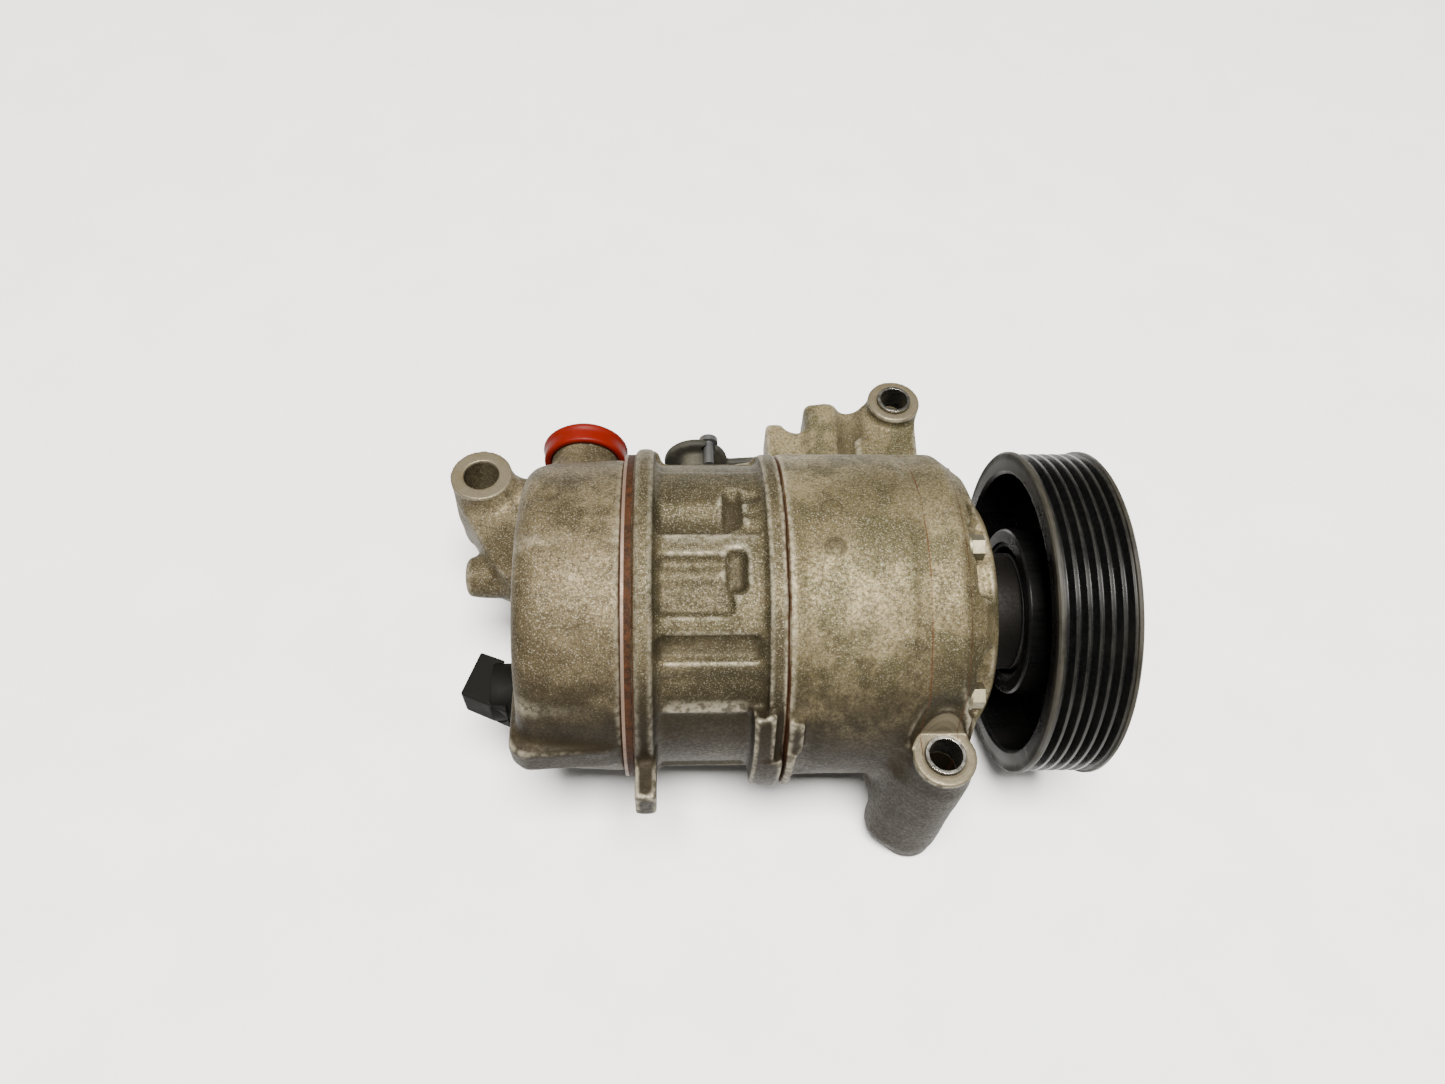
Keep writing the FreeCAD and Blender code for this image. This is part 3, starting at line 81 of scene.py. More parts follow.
class Field:
    """A grid of distances round some CAD nodes, for shaping a casting and turning it back into a mesh."""

    def __init__(self, nodes, voxel, band=9, pad=5.0):
        self.voxel = voxel
        self.band = band
        points, triangles, start = [], [], 0
        for name in nodes:
            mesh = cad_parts[name].data
            mesh.calc_loop_triangles()
            corners = np.zeros(len(mesh.vertices) * 3, np.float32)
            mesh.vertices.foreach_get("co", corners)
            faces = np.zeros(len(mesh.loop_triangles) * 3, np.int32)
            mesh.loop_triangles.foreach_get("vertices", faces)
            points.append(corners.reshape(-1, 3) / MM)
            triangles.append(faces.reshape(-1, 3) + start)
            start += len(mesh.vertices)
        points = np.concatenate(points).astype(np.float32)
        triangles = np.concatenate(triangles).astype(np.uint32)
        self.low = np.floor((points.min(0) - pad) / voxel).astype(int)
        high = np.ceil((points.max(0) + pad) / voxel).astype(int)
        self.shape = tuple(int(n) for n in high - self.low + 1)
        self.transform = vdb.createLinearTransform(voxelSize=voxel)
        axes = [(self.low[i] + np.arange(self.shape[i])) * voxel for i in range(3)]
        self.x = axes[0][:, None, None].astype(np.float32)
        self.y = axes[1][None, :, None].astype(np.float32)
        self.z = axes[2][None, None, :].astype(np.float32)
        self.radius = np.hypot(self.y, self.z)
        self.angle = np.degrees(np.arctan2(self.y, self.z))
        self.cad = self.read(points, triangles)

    def read(self, points, triangles=None, quads=None):
        """The distances to a closed mesh, as an array over this grid."""
        grid = vdb.FloatGrid.createLevelSetFromPolygons(
            points, triangles=triangles, quads=quads, transform=self.transform, halfWidth=self.band)
        values = np.zeros(self.shape, np.float32)
        grid.copyToArray(values, ijk=tuple(int(n) for n in self.low))
        return values

    def polygons(self, values, level=0.0):
        grid = vdb.FloatGrid(self.band * self.voxel)
        grid.copyFromArray(np.ascontiguousarray(values, np.float32), ijk=tuple(int(n) for n in self.low))
        grid.transform = self.transform
        grid.gridClass = vdb.GridClass.LEVEL_SET
        return grid.convertToPolygons(isovalue=level, adaptivity=0.0)

    def filled(self, values, radius):
        """The field with its inside corners filled to the given fillet radius."""
        points, triangles, quads = self.polygons(values, radius)
        return self.read(points, triangles, quads) + radius

    def blurred(self, values, sigma):
        """The field softened over sigma millimetres, which rounds every edge and corner."""
        reach = max(1, int(math.ceil(2.5 * sigma / self.voxel)))
        steps = np.arange(-reach, reach + 1) * self.voxel
        weights = np.exp(-0.5 * (steps / sigma) ** 2)
        weights /= weights.sum()
        for axis in range(3):
            size = values.shape[axis]
            padded = np.pad(values, [(reach, reach) if i == axis else (0, 0) for i in range(3)],
                            mode="edge")
            total = np.zeros_like(values)
            for k, weight in enumerate(weights):
                part = [slice(None)] * 3
                part[axis] = slice(k, k + size)
                total += np.float32(weight) * padded[tuple(part)]
            values = total
        return values

    def at(self, values, points):
        """The field's values at points, by trilinear reading."""
        place = points / self.voxel - self.low
        place = np.clip(place, 0, np.array(self.shape) - 1.001)
        cell = place.astype(int)
        part = place - cell
        result = np.zeros(len(points))
        for i in (0, 1):
            for j in (0, 1):
                for k in (0, 1):
                    weight = (np.abs(1 - i - part[:, 0]) * np.abs(1 - j - part[:, 1])
                              * np.abs(1 - k - part[:, 2]))
                    result += weight * values[cell[:, 0] + i, cell[:, 1] + j, cell[:, 2] + k]
        return result

    # solids, as distances
    def drum(self, radius, low, high):
        """A solid round the shaft axis."""
        return np.maximum(self.radius - radius, np.maximum(low - self.x, self.x - high))

    def post(self, x, y, radius, low, high):
        """A round solid along Z."""
        flat = np.hypot(self.x - x, self.y - y) - radius
        return np.maximum(flat, np.maximum(low - self.z, self.z - high))

    def rod(self, x, y, z, radius, low, high):
        """A round solid along X at y, z."""
        flat = np.hypot(self.y - y, self.z - z) - radius
        return np.maximum(flat, np.maximum(low - self.x, self.x - high)) + 0 * x

    def pill(self, a, b, radius_a, radius_b):
        """A solid with round ends from point a to point b, its radius changing evenly."""
        a, b = np.array(a, float), np.array(b, float)
        line = b - a
        t = ((self.x - a[0]) * line[0] + (self.y - a[1]) * line[1] + (self.z - a[2]) * line[2]) / (line @ line)
        t = np.clip(t, 0, 1)
        gap = np.sqrt((self.x - a[0] - t * line[0]) ** 2 + (self.y - a[1] - t * line[1]) ** 2
                      + (self.z - a[2] - t * line[2]) ** 2)
        return gap - (radius_a + (radius_b - radius_a) * t)

    def brick(self, low, high, rounding=0.0):
        """A box between two corners with rounded edges."""
        gaps = []
        for axis, a, b in zip((self.x, self.y, self.z), low, high):
            gaps.append(np.abs(axis - (a + b) / 2) - (b - a) / 2 + rounding)
        outside = np.sqrt(sum(np.maximum(g, 0) ** 2 for g in gaps))
        inside = np.minimum(np.maximum(np.maximum(gaps[0], gaps[1]), gaps[2]), 0)
        return outside + inside - rounding

    def waves(self, size, seed):
        """Slow uneven waves from a few fixed sine sums, for cast surfaces that aren't quite true."""
        rng = np.random.default_rng(seed)
        total = 0
        for _ in range(6):
            direction = rng.normal(size=3)
            direction *= 2 * math.pi / (size * (0.7 + 0.6 * rng.random()) * np.linalg.norm(direction))
            total = total + np.sin(self.x * direction[0] + self.y * direction[1] + self.z * direction[2]
                                   + 6.28 * rng.random())
        return total / 6


def mesh_from(field, values, name):
    """A piece from a field's surface, with how hollow and how edged each point is as attributes."""
    points, triangles, quads = field.polygons(values)
    wide = field.blurred(values, 2.2)
    narrow = field.blurred(values, 0.9)
    piece_mesh = bpy.data.meshes.new(name)
    count = len(triangles) + len(quads)
    loops = np.concatenate([triangles.ravel(), quads.ravel()]).astype(np.int32)
    sizes = np.concatenate([np.full(len(triangles), 3), np.full(len(quads), 4)]).astype(np.int32)
    starts = np.concatenate([[0], np.cumsum(sizes)[:-1]]).astype(np.int32)
    piece_mesh.vertices.add(len(points))
    piece_mesh.vertices.foreach_set("co", (points * MM).astype(np.float32).ravel())
    piece_mesh.loops.add(len(loops))
    piece_mesh.loops.foreach_set("vertex_index", loops)
    piece_mesh.polygons.add(count)
    piece_mesh.polygons.foreach_set("loop_start", starts)
    piece_mesh.polygons.foreach_set("loop_total", sizes)
    piece_mesh.update(calc_edges=True)
    piece_mesh.validate()
    corners = points.astype(float)
    for label, array in (("wide_bend", wide), ("fine_bend", narrow)):
        bend = (field.at(array, corners) - field.at(values, corners)).astype(np.float32)
        attribute = piece_mesh.attributes.new(label, "FLOAT", "POINT")
        attribute.data.foreach_set("value", bend)
    piece_mesh.shade_smooth()
    piece = bpy.data.objects.new(name, piece_mesh)
    bpy.context.scene.collection.objects.link(piece)
    if facing_in(piece_mesh):
        piece_mesh.flip_normals()
    return piece


def facing_in(mesh):
    """True if a closed mesh's faces point inwards."""
    mesh.calc_loop_triangles()
    co = np.zeros(len(mesh.vertices) * 3, np.float64)
    mesh.vertices.foreach_get("co", co)
    co = co.reshape(-1, 3)
    tri = np.zeros(len(mesh.loop_triangles) * 3, np.int32)
    mesh.loop_triangles.foreach_get("vertices", tri)
    a, b, c = (co[tri.reshape(-1, 3)[:, i]] for i in range(3))
    return float(np.einsum("ij,ij->i", a, np.cross(b, c)).sum()) < 0


# ---------------------------------------------------------------- castings
BOLTS = [-4.5 + 60 * i for i in range(6)]


def block_profile(x, angle):
    """The block's outside radius, with its ribs, pockets and steps, over length and angle."""
    inner = between(x, -131.2, -109.4, 1.6)
    long = between(x, -131.2, -100.8, 1.8)
    full = between(x, -131.4, -98.8, 1.4)
    level = 51.0 + 0 * x + 0 * angle
    level = level - 0.9 * smooth_step(angle, 34, 2.0) * full * (1 - smooth_step(angle, 59, 2))
    # high pocket: a long soft slope down to a sharp foot, with a gap and a raised pad at its end
    slope = np.clip((13 - angle) / 9.5, 0, 1)
    slope = slope * slope * (3 - 2 * slope)
    level = level - 2.7 * slope * smooth_step(angle, -0.4, 1.8) * inner
    level = level - 3.2 * between(angle, 1.5, 18, 3) * between(x, -110.0, -106.6, 1.4)
    level = level - 1.3 * between(angle, 12.8, 16.5, 1.6) * between(x, -107, -100.4, 1.6)
    level = level - 0.8 * between(angle, 5.6, 7.2, 2.2) * between(x, -106.4, -100.6, 2.4)
    level = level - 1.0 * between(angle, -1.4, 1.2, 1.8) * between(x, -109, -100.4, 1.6)
    # second pocket under the first rib, with a deep round-cornered hole at its end
    level = level - 2.6 * between(angle, -29.6, -11.6, 2.0) * inner
    level = level + 0.8 * between(angle, -19.5, -14.2, 3.0) * inner
    level = level + 0.5 * between(angle, -29.4, -24, 5.0) * inner
    level = level - 3.6 * between(angle, -22, -9.6, 2.6) * between(x, -109.6, -105.6, 1.6)
    # groove between the second and third ribs
    level = level - 2.6 * between(angle, -45.0, -38.8, 2.0) * long
    level = level - 0.7 * smooth_step(-angle, 51.5, 3.0) * full * (1 - smooth_step(-angle, 66.5, 0.6))
    level = level - 0.44 * between(-angle, 51.0, 54.0, 3.0) * long
    # low step line, then the plainer underside
    level = level + 0.5 * between(angle, -67.0, -65.2, 1.0) * between(x, -131, -122, 2)
    level = level - 1.7 * smooth_step(-angle, 67.4, 1.4) * full * (1 - smooth_step(-angle, 112, 3))
    # hidden side: broad valleys between the cylinders
    for low, high in ((118, 138), (147, 168), (-168, -150), (-143, -122)):
        level = level - 2.6 * between(angle, low, high, 4) * inner
    return level + (1 - full) * 30


def add_waves(field, values, amount, seed):
    return values + amount * field.waves(22, seed) + 0.5 * amount * field.waves(8, seed + 1)


def make_block():
    field = Field(["cylinder_block"], VOXEL)
    solid = field.cad
    ring = np.maximum(field.drum(51.0, -132.5, -97.5), 46.9 - field.radius)
    solid = np.minimum(solid, ring)
    profile = block_profile(field.x, field.angle)
    spared = between(field.angle, 58, 117, 1.0)
    low_lugs = between(field.angle, -112.4, -62.6, 0.8) * smooth_step(field.x, -103.6, 0.6)
    spared = np.maximum(spared, low_lugs)
    solid = np.maximum(solid, field.radius - profile - spared * 30)
    for angle in BOLTS:
        t = math.radians(angle)
        solid = np.maximum(solid, -field.rod(0, 45.5 * math.sin(t), 45.5 * math.cos(t), 3.3, -140, -92))
    soft = field.filled(solid, 1.4)
    shaped = add_waves(field, field.blurred(soft, 0.55), 0.09, 3)
    rounder = field.blurred(soft, 0.9)
    flange = between(field.x, -139.2, -130.6, 1.0)
    shaped = shaped + (rounder - shaped) * flange
    shaped = joined(shaped, field.brick((-138.5, -67.8, -6.8), (-131.9, -48, 6.8), 0.9), 1.2)
    shaped = np.maximum(shaped, np.maximum(-139 - field.x, field.x + 92.5))
    rough_side = smooth_step(field.radius, 47.2, 0.8) * smooth_step(field.x, -138.6, 0.6)
    values = field.cad + (shaped - field.cad) * rough_side
    return mesh_from(field, values, "block_casting")


def make_front():
    field = Field(["front_housing"], VOXEL)
    x, y, z = field.x, field.y, field.z
    solid = field.cad
    ear_one, ear_two = (-43.1, -56.8), (-41.8, 87.4)
    # lower leg: a fat tapering column beside and below the bore, with a rounded end
    leg = field.pill((-50.5, -53.5, -6.0), (-49.5, -55.0, -50.0), 7.5, 9.6)
    leg = joined(leg, field.pill((-43.1, -56.8, -2), (-44.0, -56.2, -49.5), 9.6, 10.4), 3)
    root = field.pill((-47.0, -44.0, -8.0), (-50.0, -46.0, -34.0), 12.0, 9.0)
    leg = joined(leg, root, 5)
    solid = joined(solid, leg, 3.0)
    # upper arm: a rounded block at the left, a soft valley, and a round root under the bore
    arm = field.brick((-75.8, 48, -33), (-64.6, 91.6, 4.6), 2.8)
    arm = joined(arm, field.pill((-42.6, 66.0, -9.0), (-41.8, 86.0, -9.0), 11.4, 9.6), 4)
    solid = joined(solid, arm, 3.5)
    valley = field.pill((-59.6, 60, 6.0), (-58.4, 92, 5.6), 5.0, 4.8)
    solid = carved(solid, valley, 2.4)
    # round body: a shallow hollow behind the seam flange, a step and the mould's parting line
    body = between(field.radius, 50, 56, 1.0) * between(x, -92, -44, 2)
    body = body * (1 - between(field.angle, 50, 128, 4)) * (1 - between(field.angle, -150, -104, 6))
    hollow = 0.8 * between(x, -88.5, -83.0, 4.0) + 0.8 * smooth_step(x, -54.2, 2.0)
    line = 0.5 * between(x, -50.8, -49.4, 1.0)
    solid = solid + (hollow + line) * body
    # hollows between the shoulder and the nose rim, either side of each screw
    for angle in BOLTS:
        for low, high in ((-20.0, -4.8), (-56.0, -41.5)):
            turn = (field.angle - angle + 180) % 360 - 180
            middle, half = (low + high) / 2, (high - low) / 2
            across = (np.abs(turn - middle) - half) * math.radians(1) * 43
            along = np.maximum(-34.6 - x, x + 28.0)
            solid = carved(solid, np.maximum(np.maximum(across, along), 38.6 - field.radius), 2.2)
    # small round mould marks and two short raised dashes
    for angle, lift in ((6, 0.15), (-9, 0.4)):
        t = math.radians(angle)
        mark = np.hypot(x + 78.2, (field.angle - angle) * math.radians(1) * 54)
        ring_line = between(mark, 2.6, 3.4, 0.8) * smooth_step(field.radius, 50, 1)
        face = (1 - smooth_step(mark, 3.0, 0.8)) * smooth_step(field.radius, 50, 1)
        solid = solid + 0.45 * ring_line - lift * face * 0.5
    spot = np.maximum(np.hypot(x - ear_one[0], y - ear_one[1]) - 11.6,
                      np.maximum(9.0 - z, 50.4 - field.radius))
    solid = carved(solid, spot, 3.0)
    fillet = field.filled(solid, 4.0)
    tight = field.filled(solid, 1.2)
    by_ears = np.maximum(between(y, 52, 74, 6), between(y, -56, -42, 6)) * between(x, -58, -28, 5)
    soft = tight + (fillet - tight) * by_ears
    shaped = add_waves(field, field.blurred(soft, 0.7), 0.11, 7)
    # machined: ear faces, bores, bolt seats and the seam face
    for ex, ey in (ear_one, ear_two):
        faced = np.maximum(np.hypot(x - ex, y - ey) - 10.4, np.maximum(9.9 - z, 50.2 - field.radius))
        shaped = np.maximum(shaped, -faced)
        face_step = np.maximum(np.hypot(x - ex, y - ey) - 9.9, z - 9.9)
        face_step = np.maximum(face_step, 7.5 - z)
        shaped = np.minimum(shaped, face_step)
        shaped = np.maximum(shaped, -field.post(ex, ey, 5.2, -61, 11))
        shaped = np.maximum(shaped, -field.post(ex, ey, 6.25, 1.0, 11))
    shaped = np.maximum(shaped, -60 - z)
    shaped = np.maximum(shaped, -92.5 - x)
    outside = np.where(x < -43, 47.9, np.where(x < -36, 39.4, 30.0))
    rough_side = smooth_step(field.radius, outside + 0.7, 1.0) * (1 - smooth_step(x, -25.4, 1.0))
    seats = 50.0 + 0 * x
    for angle in BOLTS:
        t = math.radians(angle)
        seat = field.rod(0, 45.5 * math.sin(t), 45.5 * math.cos(t), 5.0, -36.4, -10)
        seats = np.minimum(seats, seat)
        hole = field.rod(0, 45.5 * math.sin(t), 45.5 * math.cos(t), 3.3, -95, -30)
        shaped = np.maximum(shaped, -hole)
    shaped = np.maximum(shaped, -seats)
    values = field.cad + (shaped - field.cad) * rough_side
    return mesh_from(field, values, "front_casting")


def make_rear():
    field = Field(["rear_housing"], VOXEL)
    x, y, z = field.x, field.y, field.z
    solid = field.cad
    # rear ear: a wide arm that runs smoothly into the head
    arm = field.pill((-193.0, 48.0, -7.0), (-172.0, 22.0, -6.0), 10.0, 14.0)
    arm = joined(arm, field.pill((-192.0, 50.0, -8.0), (-176.0, 44.0, -6.0), 10.0, 7.0), 5)
    web = field.pill((-184.0, 47.5, -5.0), (-168.0, 49.0, -3.0), 9.0, 9.5)
    arm = np.maximum(joined(arm, web, 4.0), z - 5.0)
    solid = joined(solid, arm, 4.0)
    # cast boss with a round end, a low rib and the small dimple above it
    boss = field.pill((-170, 20, -8), (-192.4, 20, -8), 7.2, 6.6)
    solid = joined(solid, boss, 3.0)
    shell = smooth_step(field.radius, 46, 2) * (1 - smooth_step(field.radius, 54, 2))
    panel = between(field.angle, -6, 14, 2.0) * between(x, -171.6, -165.8, 1.6)
    solid = solid - 0.5 * panel * shell
    dimple = np.sqrt(((x + 164.8) / 1.5) ** 2 + ((field.angle - 15.5) * 0.89 / 2.0) ** 2)
    solid = solid + 0.9 * (1 - smooth_step(dimple, 1.0, 0.7)) * shell
    fillet = field.filled(solid, 4.0)
    tight = field.filled(solid, 1.5)
    behind = smooth_step(y, 36, 8) * smooth_step(-x, 168, 8)
    soft = tight + (fillet - tight) * behind
    shaped = add_waves(field, field.blurred(soft, 1.0), 0.12, 11)
    ex, ey = -195.0, 51.8
    faced = np.maximum(np.hypot(x - ex, y - ey) - 11.6, 10.1 - z)
    shaped = np.maximum(shaped, -faced)
    face_step = np.maximum(np.hypot(x - ex, y - ey) - 10.9, np.maximum(z - 10.1, 6.5 - z))
    shaped = np.minimum(shaped, face_step)
    shaped = np.maximum(shaped, -field.post(ex, ey, 6.24, -30, 12))
    shaped = np.maximum(shaped, np.where(x < -181, -24 - z, -50))
    shaped = np.maximum(shaped, x + 142)
    # the suction bore and the valve bore stay as machined
    suction = np.hypot(x + 158, z - 11)
    shaped = np.maximum(shaped, np.where(y > 36, 8 - suction, -50))
    valve = np.hypot(y + 24, z + 10)
    shaped = np.maximum(shaped, np.where(x < -150, 9.5 - valve, -50))
    inside = (1 - smooth_step(field.radius, 45.5, 1.5)) * smooth_step(x, -171.0, 1.5)
    values = shaped + (field.cad - shaped) * inside
    return mesh_from(field, values, "rear_casting")


def rounded_copy(node, name, sigma, voxel):
    """A moulded part with its edges softened."""
    field = Field([node], voxel, pad=2.0)
    return mesh_from(field, field.blurred(field.cad, sigma), name)


# ---------------------------------------------------------------- materials
class Paint:
    """One material's nodes, built from a few short calls."""

    def __init__(self, name):
        self.material = bpy.data.materials.new(name)
        self.material.use_nodes = True
        self.tree = self.material.node_tree
        self.tree.nodes.clear()
        self.surface = self.node("ShaderNodeBsdfPrincipled")
        end = self.node("ShaderNodeOutputMaterial")
        self.tree.links.new(self.surface.outputs[0], end.inputs[0])
        self.place = self.node("ShaderNodeTexCoord").outputs["Object"]

    def node(self, kind, **settings):
        made = self.tree.nodes.new(kind)
        for key, value in settings.items():
            setattr(made, key, value)
        return made

    def put(self, socket, value):
        if isinstance(value, bpy.types.NodeSocket):
            self.tree.links.new(value, socket)
        elif isinstance(value, (tuple, list)) and len(value) == 3 and socket.type == "RGBA":
            socket.default_value = (*value, 1.0)
        else:
            socket.default_value = value

    def set(self, **values):
        for key, value in values.items():
            self.put(self.surface.inputs[key.replace("_", " ")], value)

    def math(self, operation, a, b=0.0, clamp=False):
        made = self.node("ShaderNodeMath", operation=operation, use_clamp=clamp)
        self.put(made.inputs[0], a)
        self.put(made.inputs[1], b)
        return made.outputs[0]

    def noise(self, scale, detail=2.0, rough=0.5, stretch=None, shift=0.0):
        made = self.node("ShaderNodeTexNoise")
        made.inputs["Scale"].default_value = scale
        made.inputs["Detail"].default_value = detail
        made.inputs["Roughness"].default_value = rough
        where = self.node("ShaderNodeMapping")
        where.inputs["Location"].default_value = (shift, shift * 1.7, -shift)
        where.inputs["Scale"].default_value = stretch or (1, 1, 1)
        self.put(where.inputs["Vector"], self.place)
        self.put(made.inputs["Vector"], where.outputs[0])
        return made.outputs[0]

    def cells(self, scale, shift=0.0):
        made = self.node("ShaderNodeTexVoronoi", feature="F1")
        made.inputs["Scale"].default_value = scale
        where = self.node("ShaderNodeMapping")
        where.inputs["Location"].default_value = (shift, -shift, shift)
        self.put(where.inputs["Vector"], self.place)
        self.put(made.inputs["Vector"], where.outputs[0])
        return made.outputs["Distance"]

    def ramp(self, value, low, high, to_low=0.0, to_high=1.0):
        made = self.node("ShaderNodeMapRange", interpolation_type="SMOOTHSTEP", clamp=True)
        for i, v in enumerate((value, low, high, to_low, to_high)):
            self.put(made.inputs[i], v)
        return made.outputs[0]

    def mix(self, share, a, b, kind="MIX"):
        made = self.node("ShaderNodeMix", data_type="RGBA", blend_type=kind)
        self.put(made.inputs[0], share)
        self.put(made.inputs[6], a)
        self.put(made.inputs[7], b)
        return made.outputs[2]

    def attribute(self, name):
        return self.node("ShaderNodeAttribute", attribute_name=name).outputs["Fac"]

    def axes(self):
        made = self.node("ShaderNodeSeparateXYZ")
        self.put(made.inputs[0], self.place)
        return made.outputs

    def radius(self):
        """Distance from the shaft axis, in metres."""
        _, y, z = self.axes()
        square = self.math("ADD", self.math("MULTIPLY", y, y), self.math("MULTIPLY", z, z))
        return self.math("SQRT", square)

    def bump(self, height, distance, strength=1.0, over=None):
        made = self.node("ShaderNodeBump")
        made.inputs["Strength"].default_value = strength
        made.inputs["Distance"].default_value = distance
        self.put(made.inputs["Height"], height)
        if over is not None:
            self.put(made.inputs["Normal"], over)
        return made.outputs[0]

    def edges(self, size):
        made = self.node("ShaderNodeBevel", samples=4)
        made.inputs["Radius"].default_value = size
        return made.outputs[0]


def cast_metal(name, bright, dull, stain, seed, machined=(), nose=None, lines=(), discs=(),
               pockets=None):
    """Die-cast aluminium: fine grain, uneven grey-olive tone, hollows darkened by soiling and painted shade,
    painted shade towards the underside, in the block's pockets and on the snout, brighter worn edges.
    """
    p = Paint(name)
    grain = p.noise(950, 4, 0.66, shift=seed)
    fine = p.noise(2100, 2, 0.6, shift=seed + 1)
    cloud = p.noise(26, 3, 0.55, shift=seed + 2)
    patch = p.noise(60, 4, 0.6, shift=seed + 3)
    speck = p.noise(520, 2, 0.5, shift=seed + 4)
    x, y, z = p.axes()
    tone = p.mix(p.ramp(cloud, 0.36, 0.66), dull, bright)
    tone = p.mix(p.math("MULTIPLY", p.ramp(patch, 0.47, 0.62), 0.80), tone, stain)
    mottle = p.noise(210, 4, 0.62, shift=seed + 6)
    tone = p.mix(p.ramp(mottle, 0.54, 0.68, 0.0, 0.55), tone, tuple(0.42 * c for c in dull))
    tone = p.mix(p.ramp(grain, 0.40, 0.64, 0.0, 0.60), tone, (0.0175, 0.013, 0.006))
    tone = p.mix(p.ramp(fine, 0.52, 0.72, 0.0, 0.30), tone, (0.34, 0.315, 0.25))
    # painted shade: the block's pockets are darkened below the given outside radius
    if pockets is not None:
        tone = p.mix(p.ramp(p.radius(), pockets - 0.0032, pockets - 0.0008, 0.38, 0.0), tone,
                     (0.010, 0.008, 0.004))
    # partly dirt, partly painted shade: the casting turns darker towards its underside, broken up by noise
    low_side_shade = p.ramp(p.math("ADD", y, p.math("MULTIPLY", z, 0.35)), -0.055, 0.0, 1.0, 0.12)
    low_dirt_and_shade = p.math("MULTIPLY", p.ramp(p.noise(90, 4, 0.65, shift=seed + 5), 0.34, 0.62), low_side_shade)
    tone = p.mix(p.math("MULTIPLY", low_dirt_and_shade, 0.80), tone, (0.011, 0.008, 0.004))
    # painted shade: below the lower edge the casting goes almost black, standing in for the shade on its
    # underside
    underside_painted_shade = p.ramp(p.math("ADD", y, p.math("MULTIPLY", cloud, 0.014)), -0.047, -0.029, 0.92, 0.0)
    tone = p.mix(underside_painted_shade, tone, (0.007, 0.005, 0.0025))
    rough = p.ramp(grain, 0.3, 0.7, 0.52, 0.70)
    # dirt and painted shade in hollows: concave places are darkened
    hollow = p.ramp(p.attribute("wide_bend"), -0.75, -0.06, 1.0, 0.0)
    hollow = p.math("MULTIPLY", hollow, p.ramp(patch, 0.30, 0.62, 0.65, 1.0))
    tone = p.mix(p.math("MULTIPLY", hollow, 0.80), tone, (0.013, 0.01, 0.005))
    edge = p.ramp(p.attribute("fine_bend"), 0.08, 0.30)
    edge = p.math("MULTIPLY", edge, p.ramp(speck, 0.36, 0.6, 0.25, 1.0))
    tone = p.mix(p.math("MULTIPLY", edge, 0.45), tone, (0.31, 0.28, 0.21))
    height = p.math("ADD", p.math("MULTIPLY", grain, 0.8), p.math("MULTIPLY", fine, 0.35))
    height = p.math("ADD", height, p.math("MULTIPLY", speck, 0.9))
    normal = p.bump(height, 0.00016, 0.55)
    for cx, cy, reach, top in machined:
        flat = p.math("ADD", x, -cx), p.math("ADD", y, -cy)
        away = p.math("SQRT", p.math("ADD", p.math("MULTIPLY", flat[0], flat[0]),
                                     p.math("MULTIPLY", flat[1], flat[1])))
        on = p.math("MULTIPLY", p.ramp(away, reach - 0.0002, reach + 0.0003, 1.0, 0.0),
                    p.ramp(z, top - 0.0007, top - 0.0003))
        rings = p.math("SINE", p.math("MULTIPLY", away, 7200))
        shade = p.mix(p.ramp(rings, -1, 1, 0.0, 0.30), (0.080, 0.068, 0.045), (0.036, 0.030, 0.018))
        shade = p.mix(p.ramp(patch, 0.5, 0.75, 0.0, 0.7), shade, (0.060, 0.046, 0.022))
        tone = p.mix(on, tone, shade)
        rough = p.math("ADD", rough, p.math("MULTIPLY", on, -0.16))
    for where, width, share in lines:
        near = p.ramp(p.math("ABSOLUTE", p.math("ADD", x, -where)), 0.4 * width, width, 1.0, 0.0)
        near = p.math("MULTIPLY", near, p.ramp(patch, 0.34, 0.52, 0.25, 1.0))
        near = p.math("MULTIPLY", near, p.ramp(p.radius(), 0.0568, 0.0580, 1.0, 0.0))
        tone = p.mix(p.math("MULTIPLY", near, share), tone, (0.034, 0.0125, 0.004))
    for cx, cy, cz, share in discs:
        offsets = [p.math("ADD", axis, -centre) for axis, centre in zip((x, y, z), (cx, cy, cz))]
        away = p.math("SQRT", p.math("ADD", p.math("ADD", p.math("POWER", offsets[0], 2.0),
                                                   p.math("POWER", offsets[1], 2.0)),
                                     p.math("POWER", offsets[2], 2.0)))
        tone = p.mix(p.ramp(away, 0.0027, 0.0031, share, 0.0), tone, (0.015, 0.012, 0.006))
        rim = p.ramp(p.math("ABSOLUTE", p.math("ADD", away, -0.0032)), 0.0001, 0.0004, 0.6, 0.0)
        tone = p.mix(rim, tone, (0.0175, 0.014, 0.007))
    # painted shade: the housing's snout past the nose turns near-black, standing in for the shade inside the
    # pulley
    if nose is not None:
        tone = p.mix(p.ramp(x, nose - 0.001, nose + 0.001), tone, (0.0035, 0.003, 0.0025))
    p.set(Base_Color=tone, Roughness=rough, Normal=normal)
    p.surface.inputs["Metallic"].default_value = 0.5
    p.surface.inputs["Specular IOR Level"].default_value = 0.10
    return p.material


